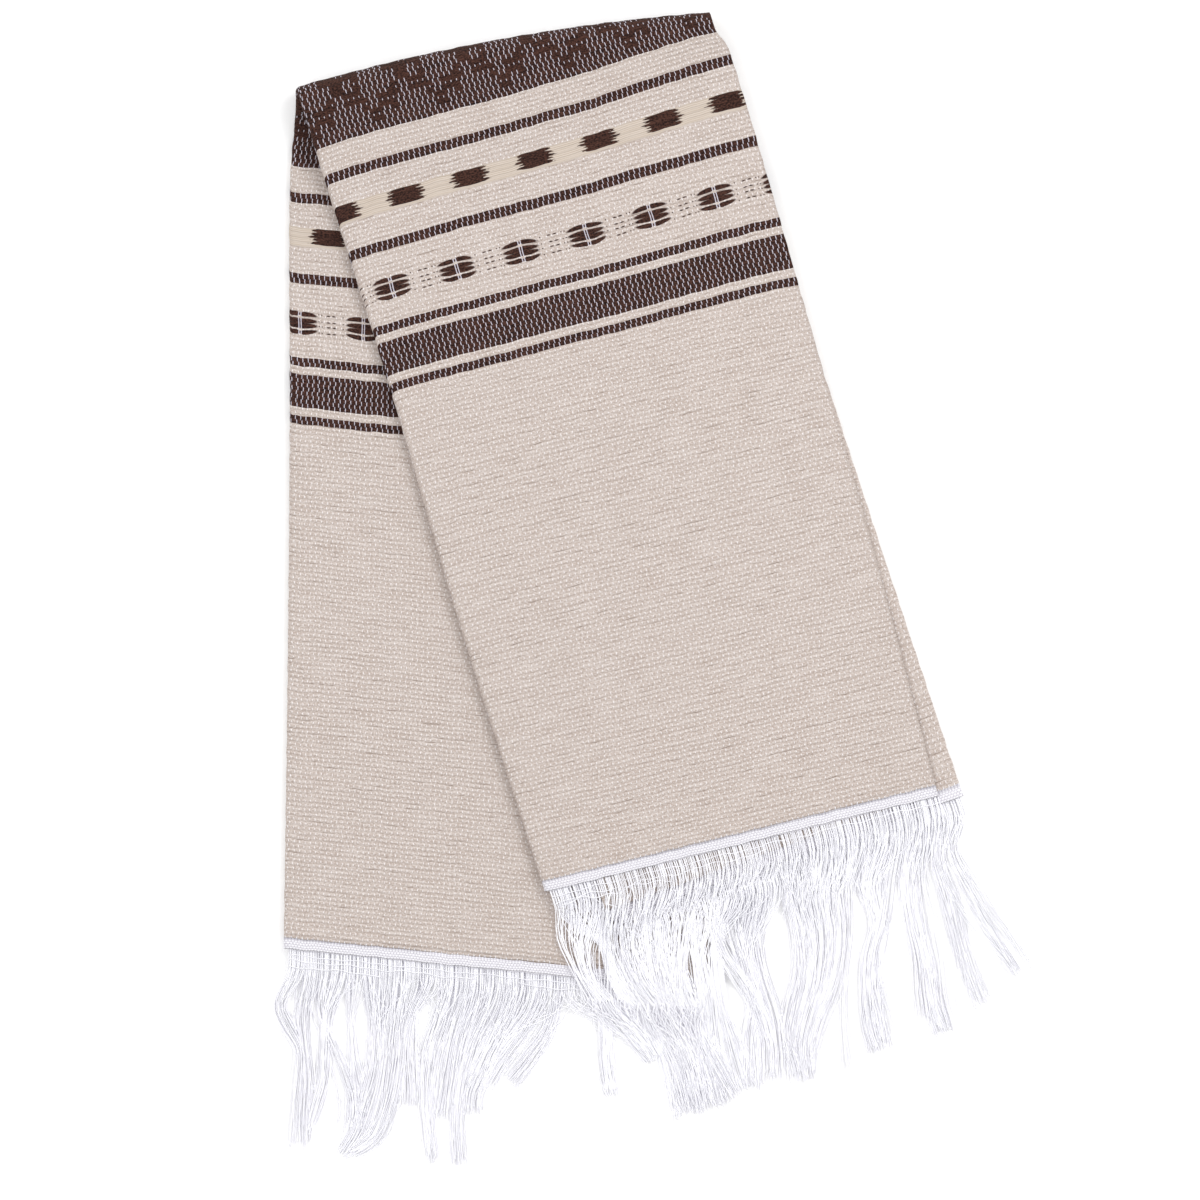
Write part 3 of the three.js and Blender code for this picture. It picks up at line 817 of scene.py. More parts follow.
steps += [
    ("cluster", "MINIMUM", "cluster", 1),
    # White warp shows in the gap between a cluster's two halves
    *share_squared("split", "cluster u", SPLIT_THREADS, SPLIT_HALF_WIDTH),
    ("split", "SUBTRACT", SPLIT_EDGE, "split"),
    *kept_between("split", 0, 1),
    ("in cluster", "GREATER_THAN", "cluster", 0.01),
    ("split", "MULTIPLY", "split", "in cluster"),
]
print(len(CLUSTER_ROWS), "threads in a cluster,", len(TICKS), "ticks beside each")

# %% What shows on top, and the painted shade between rows
GAP_STEEPNESS = 9
OPEN_GAIN, OPEN_SHIFT = 6, -3.0
CLOSED_GAP = 0.3
steps += [
    ("pattern", "MAXIMUM", "patch", "cluster"),
    ("pattern", "MAXIMUM", "pattern", "brown"),
    ("plain", "SUBTRACT", 1, "float"),
    ("mark", "MULTIPLY", "mark", "plain"),
    ("not clustered", "SUBTRACT", 1, "cluster"),
    ("mark", "MULTIPLY", "mark", "not clustered"),
    ("mark", "MAXIMUM", "mark", "split"),
    # Painted shade in the gaps between rows of weft, broken where the rows press together
    ("between rows", "ABSOLUTE", "t"),
    ("between rows", "SUBTRACT", "between rows", GAP_START),
    ("between rows", "MULTIPLY", "between rows", GAP_STEEPNESS),
    ("between rows", "MAXIMUM", "between rows", 0),
    ("broken", "MULTIPLY_ADD", "open weave", OPEN_GAIN, OPEN_SHIFT),
    ("broken", "MAXIMUM", "broken", CLOSED_GAP),
    ("between rows", "MULTIPLY", "between rows", "broken"),
    ("between rows", "MINIMUM", "between rows", DARKEST_GAP),
    ("between rows", "MULTIPLY", "between rows", "plain"),
]
print(len(steps), "steps with the gaps")

# %% Tones of the weft, and the float band's fine lines
SLUB_GAIN, SLUB_SHIFT = 1.3, -0.15
FIBRE_TONE = 3.2
STREAK_SLUB = 2.2
STREAK_START = 1.2
DARKEST_STREAK = 0.8
steps += [
    ("tone", "MULTIPLY_ADD", "slub", SLUB_GAIN, SLUB_SHIFT),
    ("tone", "MULTIPLY_ADD", "fibre", FIBRE_TONE, "tone"),
    ("tone", "SUBTRACT", "tone", FIBRE_TONE / 2),
    *kept_between("tone", 0, 1),
    # The float band's weft lies over the warp, so it has lines and no dots
    ("streak", "MULTIPLY", "v", 2 * math.pi / FLOAT_LINE_PITCH),
    ("streak", "COSINE", "streak"),
    ("streak", "MULTIPLY_ADD", "slub", STREAK_SLUB, "streak"),
    ("streak", "SUBTRACT", "streak", STREAK_START),
    *kept_between("streak", 0, DARKEST_STREAK),
]
print(len(steps), "steps with the tones")

# %% The heading's white, its fine dots and the painted shade between them
HEADING_STEP = 0.8
DOT_SHADE_START = 0.6
steps += [
    # It starts a little sooner on a white dot of the cloth
    ("heading edge", "MULTIPLY_ADD", "mark", -HEADING_STEP, HALF_LENGTH - HEADING_WIDTH - HEADING_EDGE),
    ("heading", "ABSOLUTE", "along"),
    ("heading", "GREATER_THAN", "heading", "heading edge"),
    ("heading x", "MULTIPLY", "u", 1 / HEADING_PITCH),
    ("heading x", "MULTIPLY_ADD", "odd", 0.5, "heading x"),
    ("heading x", "FRACT", "heading x"),
    ("heading x", "SUBTRACT", "heading x", 0.5),
    ("heading x", "MULTIPLY", "heading x", HEADING_DOT_FITS[0]),
    ("heading x", "MULTIPLY", "heading x", "heading x"),
    ("heading t", "MULTIPLY", "t", HEADING_DOT_FITS[1]),
    ("heading t", "MULTIPLY", "heading t", "heading t"),
    # Painted shade between the white dots, where the heading's threads part
    ("heading shade", "ADD", "heading x", "heading t"),
    ("heading shade", "SUBTRACT", "heading shade", DOT_SHADE_START),
    ("heading shade", "MULTIPLY", "heading shade", "fibre"),
    *kept_between("heading shade", 0, 1),
]
print(len(steps), "steps with the heading")

# %% How high it stands: ribs of weft, warp threads over them, and slubs
MARK_RELIEF = 0.7
SLUB_RELIEF = 1.2
steps += [
    ("rib", "MULTIPLY", "t", 2 * math.pi),
    ("rib", "COSINE", "rib"),
    ("relief", "MULTIPLY_ADD", "mark", MARK_RELIEF, "rib"),
    ("relief", "MULTIPLY_ADD", "slub", SLUB_RELIEF, "relief"),
]

# %% One arithmetic node for each step
for result, operation, *inputs in steps:
    sources = [values.get(item, item) for item in inputs]
    values[result] = add_node(tree, "ShaderNodeMath", sources, operation=operation).outputs[0]
print(len(steps), "arithmetic nodes")

# %% [markdown]
# ## Colours
# The weft is oatmeal cotton, a little lighter where it is spun thicker, and the warp is bleached
# white. The brown is a dye that the thread took unevenly, so it runs from nearly black to
# chestnut. A share from the arithmetic above blends each pair of colours.

# %% Colours of warp, weft and dye
WARP_WHITE = "#eee9e9"
WARP_ON_BROWN = "#c9c4cf"
WEFT_OATMEAL = "#b4a59c"
WEFT_LIGHT = "#d4cac4"
FLOAT_CREAM = "#cbbfb4"
FLOAT_LINE = "#b3a28f"
BROWN_DARK = "#1b0c0a"
BROWN_LIGHT = "#4e3229"
# Painted shade for the gaps between rows of weft
SHADOW = "#6f5d53"
HEADING_WHITE = "#f7f6fb"
# Painted shade between the heading's white dots
HEADING_SHADE = "#cfcbd4"

# Columns: result, share of the second colour, first colour, second colour
BLENDS = [
    ("ground", "tone", WEFT_OATMEAL, WEFT_LIGHT),
    ("streaks", "streak", FLOAT_CREAM, FLOAT_LINE),
    ("ground", "float", "ground", "streaks"),
    ("ground", "between rows", "ground", SHADOW),
    ("brown weft", "tone", BROWN_DARK, BROWN_LIGHT),
    ("cloth", "pattern", "ground", "brown weft"),
    ("warp", "pattern", WARP_WHITE, WARP_ON_BROWN),
    ("cloth", "mark", "cloth", "warp"),
    ("white weft", "heading shade", HEADING_WHITE, HEADING_SHADE),
    ("cloth", "heading", "cloth", "white weft"),
]
colours = {}
for result, share, *ends in BLENDS:
    first, second = [linear(end) if end.startswith("#") else colours[end] for end in ends]
    blend = add_node(
        tree, "ShaderNodeMix", {0: values[share], 6: first, 7: second}, data_type="RGBA",
    )
    colours[result] = blend.outputs[2]
print(list(colours))

# %% [markdown]
# ## Relief and finish
# Unglazed cotton is matt, so it looks the same from all sides, and only the ribs of weft and
# the warp threads over them catch a little light. They stand up by a third of a millimetre,
# which a bump shows as well as real threads would at this distance.

# %% The cotton's surface
BUMP_HEIGHT = 0.35
BUMP_STRENGTH = 0.6
bump = add_node(
    tree, "ShaderNodeBump",
    {"Strength": BUMP_STRENGTH, "Distance": BUMP_HEIGHT * MM, "Height": values["relief"]},
)
cotton = add_node(
    tree, "ShaderNodeBsdfPrincipled",
    {
        "Base Color": colours["cloth"], "Roughness": 0.9, "Normal": bump.outputs[0],
        "Specular IOR Level": 0.2,
    },
)
add_node(tree, "ShaderNodeOutputMaterial", {"Surface": cotton.outputs[0]})
cloth.data.materials.append(woven)
print(len(tree.nodes), "nodes in the woven cotton")

# %% [markdown]
# ## Headings and fringes
# The warp ends are left long at both hems, past a narrow white heading that locks the last
# weft threads. They are fine two-ply cotton, so they cling together in locks. Each string
# starts at its own place on the heading, joins its lock's path and sways a little in it.
# A table gives each lock's path, taken from how the locks lie.

# %% Where the locks lie
# A lock takes the strings of one stretch of a hem, from and to as shares of the hem's length.
# Its path is a list of x, y and half width in millimetres, down to its brush end.
LOCKS = {
    "front top": [
        (0, 0.033, [(-20, -126, 1.7), (-17, -139, 1.7), (-13, -149, 1.7), (-7, -160, 2.1),
            (0, -174, 2.5), (1, -190, 2.5), (3, -201, 2.5), (6, -208, 2.5)]),
        (0.033, 0.081, [(-14, -128, 2.9), (-11, -143, 2.5), (-7, -155, 2.5), (1, -167, 3.3),
            (12, -179, 3.3), (22, -191, 2.9)]),
        (0.081, 0.124, [(-7, -130, 2.5), (-6, -145, 2.1), (-2, -159, 2.5), (8, -172, 2.9),
            (19, -182, 2.5), (25, -191, 2.1)]),
        (0.124, 0.155, [(-2, -132, 3.0), (-1, -147, 4.5), (0, -159, 3.5), (1, -178, 2.1),
            (2, -195, 2.1), (4, -206, 2.1)]),
        (0.155, 0.246, [(8, -130, 5.0), (10, -143, 5.5), (16, -159, 4.7), (26, -174, 5),
            (35, -190, 6.2), (41, -212, 7)]),
        (0.246, 0.322, [(22, -132, 3.7), (23, -145, 3.3), (27, -161, 4.1), (35, -176, 5.4),
            (42, -193, 6.6), (46, -212, 7)]),
        (0.322, 0.398, [(35, -130, 3.7), (33, -147, 2.9), (33, -161, 3.3), (38, -176, 4.1),
            (47, -193, 4.6), (55, -207, 3.7)]),
        (0.398, 0.462, [(47, -130, 3.3), (51, -145, 2.9), (59, -157, 3.3), (66, -168, 3.3),
            (70, -182, 3.3), (71, -200, 3.3)]),
        (0.462, 0.525, [(56, -132, 3.7), (60, -149, 3.3), (65, -166, 3.7), (70, -182, 3.3),
            (70, -201, 3.3)]),
        (0.525, 0.581, [(64, -126, 3.3), (65, -143, 2.5), (68, -157, 2.5), (72, -170, 2.5),
            (74, -184, 2.5), (75, -200, 2.5)]),
        (0.581, 0.652, [(79, -122, 3.3), (82, -139, 2.9), (83, -153, 2.9), (80, -168, 2.9),
            (78, -180, 2.9), (82, -193, 3.3), (84, -201, 3.7)]),
        (0.652, 0.718, [(89, -122, 3.3), (92, -139, 3.3), (91, -155, 3.3), (87, -170, 3.3),
            (84, -184, 3.3), (86, -200, 3.3)]),
        (0.718, 0.774, [(99, -120, 2.9), (101, -135, 2.5), (100, -149, 2.5), (97, -161, 2.5),
            (91, -174, 2.5), (87, -187, 2.5)]),
        (0.774, 0.81, [(104, -120, 1.7), (104, -137, 1.2), (102, -153, 1.2), (101, -166, 1.2),
            (102, -182, 1.7), (104, -197, 2.5)]),
        (0.81, 0.865, [(111, -120, 2.5), (113, -135, 2.1), (110, -149, 2.5), (110, -161, 2.9),
            (112, -176, 3.3), (116, -188, 3.7)]),
        (0.865, 0.906, [(120, -116, 2.1), (118, -132, 2.1), (114, -146, 2.1), (114, -159, 2.5),
            (118, -174, 2.9), (120, -188, 2.9)]),
        (0.906, 0.944, [(126, -116, 1.7), (128, -132, 1.7), (132, -149, 2.5), (133, -161, 2.9),
            (135, -176, 2.9)]),
        (0.944, 0.97, [(133, -116, 1.7), (136, -132, 2.1), (139, -149, 2.5), (141, -166, 2.9),
            (145, -180, 3.3)]),
        (0.97, 0.987, [(137, -110, 1.7), (142, -126, 2.1), (147, -143, 2.5), (150, -159, 2.9),
            (152, -177, 2.9)]),
        (0.987, 1, [(140, -106, 1.7), (147, -122, 2.1), (156, -136, 2.5), (166, -147, 2.5),
            (173, -156, 2.9)]),
    ],
    "front under": [
        (0, 0.093, [(9, -139, 6.4), (14, -155, 6.6), (27, -174, 5.4), (36, -195, 6.6),
            (41, -213, 7)]),
        (0.093, 0.205, [(23, -135, 5.4), (28, -153, 5.4), (34, -174, 6.2), (42, -193, 7),
            (49, -211, 6.6)]),
        (0.205, 0.289, [(39, -135, 3.3), (41, -149, 2.5), (44, -166, 2.9), (46, -182, 3.3),
            (48, -200, 3.3)]),
        (0.289, 0.36, [(49, -135, 2.5), (48, -151, 2.1), (51, -170, 2.1), (56, -186, 3.7),
            (61, -203, 3.7)]),
        (0.36, 0.472, [(62, -128, 5.4), (62, -145, 3.7), (65, -166, 3.3), (63, -182, 3.3),
            (63, -203, 3.3)]),
        (0.472, 0.57, [(82, -124, 3.7), (86, -141, 3.7), (85, -157, 3.7), (81, -174, 3.3),
            (80, -193, 3.7)]),
        (0.57, 0.683, [(95, -122, 4.6), (97, -139, 3.7), (94, -159, 3.7), (88, -178, 3.3),
            (84, -198, 3.7)]),
        (0.683, 0.795, [(112, -118, 4.6), (116, -135, 2.5), (113, -151, 2.9), (113, -170, 3.3),
            (116, -187, 3.7)]),
        (0.795, 0.893, [(128, -118, 3.7), (131, -137, 3.3), (135, -153, 3.3), (139, -170, 3.3),
            (143, -180, 3.3)]),
        (0.893, 0.949, [(140, -104, 2.5), (145, -124, 2.9), (150, -145, 2.9), (155, -159, 2.9),
            (159, -169, 2.9)]),
        (0.949, 1, [(147, -91, 1.7), (146, -103, 2.1), (152, -116, 2.5), (160, -130, 2.9),
            (168, -142, 3.3), (176, -155, 3.3)]),
    ],
    "rear": [
        (0, 0.042, [(-132, -157, 2.5), (-133, -169, 2.5), (-129, -178, 2.5), (-125, -185, 2.1),
            (-125, -197, 2.5), (-126, -211, 2.9), (-127, -229, 3.7)]),
        (0.042, 0.08, [(-124, -157, 3.3), (-123, -172, 2.9), (-122, -185, 2.1),
            (-121, -201, 2.1), (-122, -215, 2.1), (-122, -226, 1.7)]),
        (0.08, 0.108, [(-117, -159, 2.5), (-116, -172, 2.1), (-111, -184, 2.1),
            (-106, -197, 2.9), (-103, -209, 3.7), (-104, -219, 3.7)]),
        (0.108, 0.155, [(-110, -159, 2.1), (-113, -172, 2.1), (-114, -186, 2.1),
            (-115, -199, 2.1), (-118, -210, 2.1), (-121, -221, 1.2)]),
        (0.155, 0.192, [(-104, -161, 1.2), (-103, -176, 1.2), (-102, -190, 1.7),
            (-100, -205, 3.3), (-100, -219, 3.7)]),
        (0.192, 0.254, [(-94, -159, 2.9), (-92, -176, 2.9), (-93, -193, 3.3), (-97, -209, 3.7),
            (-101, -221, 3.3), (-107, -230, 2.1)]),
        (0.254, 0.319, [(-84, -159, 3.7), (-84, -176, 4.1), (-86, -193, 4.6), (-89, -209, 4.1),
            (-95, -223, 3.3), (-104, -229, 2.5)]),
        (0.319, 0.366, [(-72, -157, 2.1), (-77, -170, 1.7), (-79, -184, 2.5), (-79, -199, 3.3),
            (-79, -210, 3.3)]),
        (0.366, 0.418, [(-63, -159, 3.3), (-66, -173, 3.3), (-70, -186, 3.3), (-72, -203, 2.5),
            (-71, -219, 2.1), (-69, -233, 2.1)]),
        (0.418, 0.46, [(-56, -166, 3.3), (-60, -182, 3.3), (-63, -199, 3.3), (-65, -215, 3.3)]),
        (0.46, 0.519, [(-49, -168, 3.7), (-54, -184, 3.3), (-58, -202, 2.5), (-59, -219, 2.1),
            (-58, -234, 2.5)]),
        (0.519, 0.589, [(-36, -168, 3.7), (-43, -182, 3.3), (-49, -195, 3.3), (-53, -205, 3.3),
            (-53, -213, 2.9)]),
        (0.589, 0.622, [(-25, -166, 2.1), (-32, -178, 2.5), (-41, -190, 2.9), (-48, -202, 2.5)]),
        (0.622, 0.662, [(-18, -166, 1.7), (-22, -178, 2.5), (-30, -190, 2.9), (-38, -200, 2.9)]),
        (0.662, 0.723, [(-3, -161, 2.1), (2, -174, 2.1), (3, -190, 2.1), (5, -205, 2.1)]),
        (0.723, 0.836, [(10, -168, 3.7), (18, -182, 3.7), (23, -190, 2.9)]),
        (0.836, 1, [(30, -170, 5.4), (37, -186, 6.2), (43, -204, 5.8)]),
    ],
}
# Columns: panel, its locks, how deep its strings lie in a lock, from 0 at the bottom to 1 on top
HEMS = {
    "front": [("outer", "front top", 0.8), ("inner", "front under", 0.4), ("middle", "front under", 0.1)],
    "rear": [("middle", "rear", 0.8), ("inner", "rear", 0.45), ("outer", "rear", 0.15)],
}
HEM_ENDS = {"front": 1, "rear": -1}
print({name: len(locks) for name, locks in LOCKS.items()}, "locks")

# %% [markdown]
# ## One string at a time
# A real fringe has thousands of warp ends. Here about 1350 strings a hem, a little thicker
# than real ones, stand in for them, because finer ones would be lost in the picture. They
# could be hair particles, but lines worked out one by one keep to their locks and rest on
# the plies, the lower leaf and the table, as real strings do.

# %% How strings run in their locks
STRINGS_PER_HEM = 1350
STRING_POINTS = 23
FINE_POINTS = 4 * STRING_POINTS
ROOT_STEP = 0.5
# Each string leaves the heading straight, for these distances, before its lock's first bend
STRAIGHT_START = (0.5, 8)
FIRST_BEND = 17
# Most strings reach the brush end of their lock, and the others stop short of it
LONG_SHARE = 0.85
LONG_REACH = (0.94, 1.0)
SHORT_REACH = (0.7, 0.95)
# Places across a lock are in its half widths: fullness, widest place, drift and swing
LOCK_FULLNESS = 1.2
WIDEST_PLACE = 1.15
DRIFT = 0.4
DRIFT_PACE = 1.3
SWING = 0.16
SWING_PHASE = 6
SWING_TURN = 9
LOOSENING = 4
# Heights in millimetres: a lock's, from a least value and a share of its half width, the lowest
# string's, and the space kept over what carries a string
LOCK_HEIGHT = (0.6, 0.25)
LOWEST_STRING = 0.3
# A lock is rounded across: its top, in squared half widths, and its least height at the sides
ROUND_TOP, ROUND_SIDE = 1.1, 0.1
CLEARANCE = 0.6
# How far past an edge a string has sagged, over what share of its length it comes down from
# the cloth, and how much of its height in the lock is left where it lies on something
SAG_LENGTH = 14
SINK_SHARE = 0.4
PRESSED = 0.6
# Roots lie unevenly along the hem, and a few strings stray into the locks beside their own
ROOT_SPREAD = (-1, 2)
STRAY_SHARE = 0.12
STRAY_SPREAD = 0.05
NEAR_SPREAD = 0.008
# Strings of one panel lie at about its depth in a lock
DEPTH_SPREAD = (-0.15, 0.15)
string_shares = np.linspace(0, 1, STRING_POINTS)
print(STRINGS_PER_HEM, "strings over a hem that lies flat")


# %% A path through a lock's bends
def smooth_path(points, count):
    """A smooth curve through the points, as count points evenly spread along it."""
    points = np.array(points, float)
    steps = np.linalg.norm(np.diff(points[:, :2], axis=0), axis=1)
    at = np.concatenate([[0], np.cumsum(steps)])
    slope = np.gradient(points, at, axis=0)
    return curve_through(points, slope, at, np.linspace(0, at[-1], count))


print("longest path", max(len(lock[2]) for locks in LOCKS.values() for lock in locks), "bends")


# %% What carries the strings of the upper leaf
def resting_height(plan, panel):
    """Height of what a string of the upper leaf lies on: its under plies, the lower leaf, the table."""
    lower, upper = FOLD_ROWS[0], FOLD_ROWS[-1]

    def past_line(start, finish):
        """How far each point lies past a hem, away from its cloth."""
        along = np.subtract(finish, start) / np.linalg.norm(np.subtract(finish, start))
        return (plan - start) @ np.array([along[1], -along[0]])

    def drop_off(distance, length):
        """From 1, carried, to 0, where the string has sagged off the edge."""
        return 1 - smooth_step(distance / length)

    x = plan[:, 0]
    on_leaf = drop_off(past_line(lower[LEFT], lower[RIGHT]), SAG_LENGTH)
    on_leaf *= drop_off(x - lower[RIGHT][0], SAG_LENGTH)
    height = (LEAF_HEIGHT + CLEARANCE) * on_leaf
    if panel == "outer":
        on_plies = drop_off(past_line(upper[INNER_EDGE], upper[RIGHT]), SAG_LENGTH)
        on_plies *= drop_off(upper[INNER_EDGE][0] - x, SAG_LENGTH / 2)
        plies = support_height(x) + INNER_STACK + CLOTH_THICKNESS + CLEARANCE
        height = np.maximum(height, plies * on_plies)
    return height


hem_middle = np.array([[35.0, -125.0]])
print("at the hem's middle a string rests at", resting_height(hem_middle, "outer").round(1), "mm")


# %% One string
def string_line(root, lock, place, root_half, depth, panel, end, random):
    """One string: out of the heading, then in its place within the lock, to the brush end."""
    outward = (root[1] - root[0])[:2]
    outward /= np.linalg.norm(outward)
    along_hem = np.array([-outward[1], outward[0]])
    centre = root[0, :2] - along_hem * place * root_half
    start = [(*(centre + outward * step), root_half) for step in STRAIGHT_START]
    keep = random.uniform(*(LONG_REACH if random.uniform() < LONG_SHARE else SHORT_REACH))
    bends = [
        (x, y, half_width * LOCK_FULLNESS) for x, y, half_width in lock[2]
        if np.dot(np.subtract((x, y), centre), outward) > FIRST_BEND
    ]
    path = smooth_path(start + bends, FINE_POINTS)
    path = smooth_path(path[:round(FINE_POINTS * keep)], STRING_POINTS)
    forward = np.gradient(path[:, :2], axis=0)
    forward /= np.linalg.norm(forward, axis=1, keepdims=True)
    sideways = np.column_stack([-forward[:, 1], forward[:, 0]])
    drift = random.normal(0, DRIFT) * smooth_step(string_shares * DRIFT_PACE)
    swing = SWING * np.sin(random.uniform(0, SWING_PHASE) + random.normal(0, SWING_TURN) * string_shares)
    shift = np.clip(place + drift, -WIDEST_PLACE, WIDEST_PLACE) - place + swing
    across = place + shift * smooth_step(string_shares * LOOSENING)
    plan = path[:, :2] + sideways * (across * path[:, 2])[:, None]
    thick = LOCK_HEIGHT[0] + LOCK_HEIGHT[1] * path[:, 2]
    crown = np.sqrt(np.clip(ROUND_TOP - across**2, ROUND_SIDE, 1))
    rest = LOWEST_STRING + thick * depth * crown + random.uniform(0, LOWEST_STRING)
    ground = resting_height(plan, panel) if end == 1 else 0
    sink = smooth_step(string_shares / SINK_SHARE)
    height = root[0, 2] * (1 - sink) + rest * sink
    return np.column_stack([plan, np.maximum(height, ground + rest * PRESSED)])


# %% All strings of a hem
def string_lines(side, random):
    """Centre lines of all the strings of one hem."""
    end = HEM_ENDS[side]
    lines = []
    for panel, name, level in HEMS[side]:
        left_line, right_line, stack = PANELS[panel]
        hem = FOLD_ROWS[-1 if end == 1 else 0]
        visible = {"front top": "outer", "front under": "inner", "rear": "middle"}[name]
        span = [hem[line][0] for line in PANELS[visible][:2]]
        count = round(STRINGS_PER_HEM * abs(hem[right_line][0] - hem[left_line][0]) / CLOTH_WIDTH)
        shares = (np.arange(count) + random.uniform(*ROOT_SPREAD, count)) / count
        for share in np.clip(shares, 0, 1):
            root_ends = np.array([end * (HALF_LENGTH - ROOT_STEP), end * HALF_LENGTH])
            root = thread_line(panel, share, stack, 0, root_ends)
            spread = STRAY_SPREAD if random.uniform() < STRAY_SHARE else NEAR_SPREAD
            at = (root[0, 0] - span[0]) / (span[1] - span[0]) + random.normal(0, spread)
            lock = next((lock for lock in LOCKS[name] if at < lock[1]), LOCKS[name][-1])
            place = np.clip((at - lock[0]) / (lock[1] - lock[0]), 0, 1) * 2 - 1
            root_half = (lock[1] - lock[0]) * abs(span[1] - span[0]) / 2
            depth = level + random.uniform(*DEPTH_SPREAD)
            lines.append(string_line(root, lock, place, root_half, depth, panel, end, random))
    return lines


# %% [markdown]
# ## Lines into threads
# Every line needs the same round thread, so one Geometry Nodes tree makes them all: the
# edges become curves, a small ring is swept along them, and each thread gets its own share
# of light or dark. Three sides are enough, because the twist of the yarn is far too fine
# to show.

# %% The tree that gives each line its thread
def thread_tree():
    """Geometry Nodes: edges become round threads of even width, each with a random tone stored as shade."""
    group = bpy.data.node_groups.new("thread on every line", "GeometryNodeTree")
    sockets = [
        ("Geometry", "INPUT", "Geometry"), ("Width", "INPUT", "Float"), ("Unevenness", "INPUT", "Float"),
        ("Sides", "INPUT", "Int"), ("Seed", "INPUT", "Int"), ("Material", "INPUT", "Material"),
        ("Geometry", "OUTPUT", "Geometry"),
    ]
    for name, direction, kind in sockets:
        group.interface.new_socket(name=name, in_out=direction, socket_type="NodeSocket" + kind)
    given = add_node(group, "NodeGroupInput").outputs
    curves = add_node(group, "GeometryNodeMeshToCurve", [given["Geometry"]])
    narrowest = add_node(group, "ShaderNodeMath", [1.0, given["Unevenness"]], operation="SUBTRACT")
    spread = add_node(
        group, "FunctionNodeRandomValue",
        {"Min": narrowest.outputs[0], "Max": 1.0, "Seed": given["Seed"]}, data_type="FLOAT",
    )
    shade = add_node(
        group, "GeometryNodeStoreNamedAttribute",
        {"Geometry": curves.outputs[0], "Name": "shade", "Value": spread.outputs["Value"]},
        data_type="FLOAT", domain="CURVE",
    )
    even = add_node(group, "GeometryNodeSetCurveRadius", {"Curve": shade.outputs[0], "Radius": 1.0})
    half = add_node(group, "ShaderNodeMath", [given["Width"], 0.5], operation="MULTIPLY")
    ring = add_node(
        group, "GeometryNodeCurvePrimitiveCircle",
        {"Resolution": given["Sides"], "Radius": half.outputs[0]}, mode="RADIUS",
    )
    tube = add_node(
        group, "GeometryNodeCurveToMesh",
        {"Curve": even.outputs[0], "Profile Curve": ring.outputs[0], "Fill Caps": True},
    )
    round_sides = add_node(group, "GeometryNodeSetShadeSmooth", {"Geometry": tube.outputs[0]})
    real = add_node(group, "GeometryNodeRealizeInstances", [round_sides.outputs[0]])
    dressed = add_node(
        group, "GeometryNodeSetMaterial", {"Geometry": real.outputs[0], "Material": given["Material"]},
    )
    add_node(group, "NodeGroupOutput", [dressed.outputs[0]])
    return group


string_tree = thread_tree()
print(len(string_tree.nodes), "nodes in the thread tree")

# %% [markdown]
# ## The yarn
# White two-ply cotton, spun and left unglazed. To the eye it is a soft bright white with a
# cool tinge in its shadows and no shine, because light goes a little way into the fibres
# and comes out again. A faint glow stands in for that, which is cheaper than scattering.

# %% White cotton yarn
YARN_DARK, YARN_LIGHT = "#edebf3", "#fafafd"
GLOW_COLOUR, GLOW_STRENGTH = "#eceaf6", 0.085
yarn, tree = new_material("white two-ply cotton yarn")
shade = add_node(tree, "ShaderNodeAttribute", attribute_name="shade")
whites = add_node(
    tree, "ShaderNodeMix",
    {0: shade.outputs["Fac"], 6: linear(YARN_DARK), 7: linear(YARN_LIGHT)}, data_type="RGBA",
)
soft = add_node(
    tree, "ShaderNodeBsdfPrincipled",
    {
        "Base Color": whites.outputs[2], "Roughness": 0.8, "Sheen Weight": 0.15,
        "Emission Color": linear(GLOW_COLOUR), "Emission Strength": GLOW_STRENGTH,
    },
)
add_node(tree, "ShaderNodeOutputMaterial", {"Surface": soft.outputs[0]})
print(yarn.name, len(tree.nodes), "nodes")

# %% [markdown]
# ## Stray picks
# A weaver's last weft threads slip down between the warp ends and lie there as thin waves.
# They are lines too, a little above the strings, and get the same thread.

# %% Stray picks below the headings
# Columns: side, panel, distance past the hem, start and end as shares of the hem, waviness
STRAY_PICKS = [
    ("front", "outer", 2.4, 0.0, 1.0, 0.5), ("front", "outer", 5.0, 0.0, 0.55, 0.8),
    ("front", "outer", 6.4, 0.02, 0.3, 1.2), ("front", "inner", 2.5, 0.0, 0.7, 0.6),
    ("rear", "middle", 2.2, 0.0, 1.0, 0.4), ("rear", "middle", 4.2, 0.0, 0.45, 0.6),
    ("rear", "middle", 6.6, 0.0, 0.22, 0.5), ("rear", "middle", 4.4, 0.55, 0.7, 0.5),
]
PICK_POINTS = 90
PICK_LIFT = 0.35
# Columns: waves over the hem, in radians, share of a pick's number in the phase, share of the waviness
PICK_WAVES = [(41, 1, 0.6), (97, 2, 0.4)]


def stray_picks(side, end):
    """Loose weft threads that have slipped a little way down the strings."""
    picks = []
    for number, (its_side, panel, past, first, last, wave) in enumerate(STRAY_PICKS):
        if its_side == side:
            shares = np.linspace(first, last, PICK_POINTS)
            stack = PANELS[panel][2]
            ends = np.array([end * (HALF_LENGTH - 1), end * HALF_LENGTH])
            edge = np.array([thread_line(panel, share, stack, 0, ends) for share in shares])
            outward = edge[:, 1] - edge[:, 0]
            sway = sum(np.sin(shares * turn + number * phase) * part for turn, phase, part in PICK_WAVES)
            line = edge[:, 1] + outward * (past + wave * sway)[:, None]
            line[:, 2] += PICK_LIFT
            picks.append(line)
    return picks


print({side: len(stray_picks(side, end)) for side, end in HEM_ENDS.items()}, "stray picks")

# %% The two fringes
STRING_WIDTH = 0.44
STRING_UNEVENNESS = 0.35
STRING_SIDES = 3
FIRST_SEED = 3


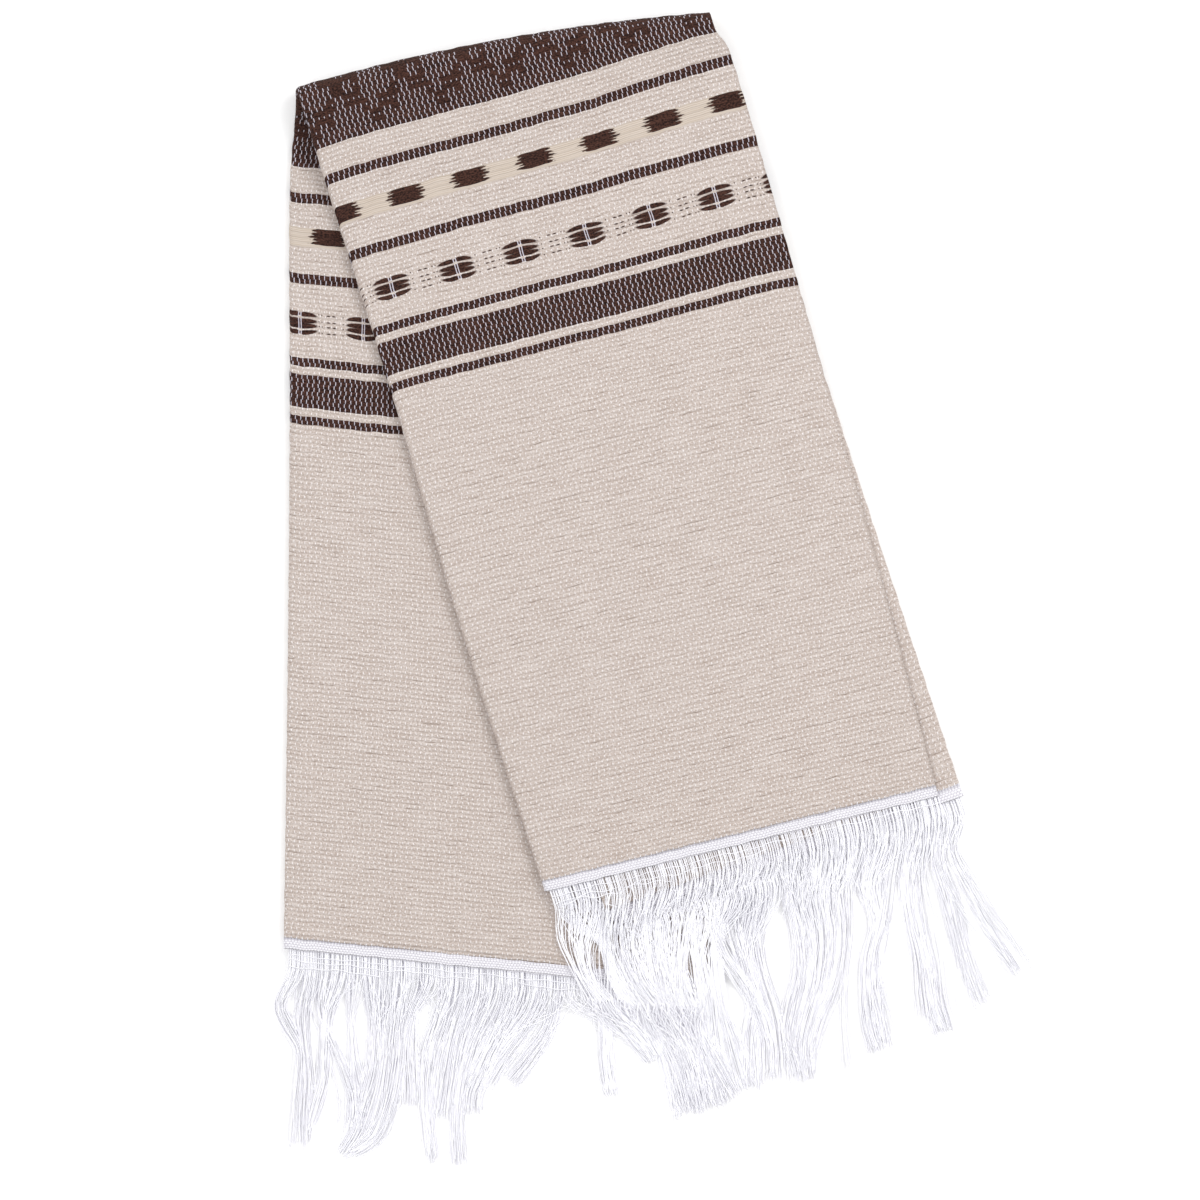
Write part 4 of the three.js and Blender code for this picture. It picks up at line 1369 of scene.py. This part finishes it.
def fringe_piece(side, seed):
    """All strings and stray picks of one hem as a plain mesh."""
    end = HEM_ENDS[side]
    lines = string_lines(side, np.random.default_rng(seed)) + stray_picks(side, end)
    points = np.concatenate(lines)
    points[:, :2] += PLAN_SHIFT
    lasts = np.cumsum([len(line) for line in lines]) - 1
    firsts = np.setdiff1d(np.arange(len(points)), lasts)
    mesh = bpy.data.meshes.new(side + "-strings")
    mesh.from_pydata((points * MM).tolist(), np.column_stack([firsts, firsts + 1]).tolist(), [])
    strings = bpy.data.objects.new(side + "-strings", mesh)
    bpy.context.scene.collection.objects.link(strings)
    modifier = strings.modifiers.new("threads", "NODES")
    modifier.node_group = string_tree
    inputs = {
        "Width": STRING_WIDTH * MM, "Unevenness": STRING_UNEVENNESS, "Sides": STRING_SIDES,
        "Seed": seed, "Material": yarn,
    }
    for item in string_tree.interface.items_tree:
        if item.name in inputs:
            modifier[item.identifier] = inputs[item.name]
    evaluated = strings.evaluated_get(bpy.context.evaluated_depsgraph_get())
    solid = bpy.data.meshes.new_from_object(evaluated)
    strings.modifiers.remove(modifier)
    strings.data = solid
    strings.name = side + "-fringe"
    print(strings.name, len(lines), "strings,", len(solid.polygons), "faces")
    return strings


fringes = {side: fringe_piece(side, seed) for seed, side in enumerate(HEM_ENDS, FIRST_SEED)}

# %% [markdown]
# ## The headings
# The heading is woven in one with the cloth, in finer white weft. As a strip of its own it
# takes the same folds from the same function, and it is a touch thicker than the cloth, so
# that the two never share a face.

# %% Heading strips
HEADING_THICKNESS = 1.2
HEADING_POINTS = 5
headings = {}
for side, end in HEM_ENDS.items():
    stretch = np.linspace(HALF_LENGTH - HEADING_WIDTH, HALF_LENGTH, HEADING_POINTS) * end
    heading = sheet_mesh(side + "-heading", np.sort(stretch), HEADING_THICKNESS / 2)
    heading.data.materials.append(woven)
    headings[side] = heading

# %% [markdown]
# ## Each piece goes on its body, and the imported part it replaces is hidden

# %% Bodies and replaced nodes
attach(cloth, "root")
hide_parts("towel-cloth")
for side in HEM_ENDS:
    for piece in (fringes[side], headings[side]):
        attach(piece, "root")
    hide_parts(side + "-heading-fringe")
print("one body carries", 1 + len(fringes) + len(headings), "pieces")

# %% Sizes
visual_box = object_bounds()
boxes = {"cad": [list(corner) for corner in cad_box], "visual": [list(corner) for corner in visual_box]}
for name, corners in boxes.items():
    print(name, [[round(value / MM, 1) for value in corner] for corner in corners])
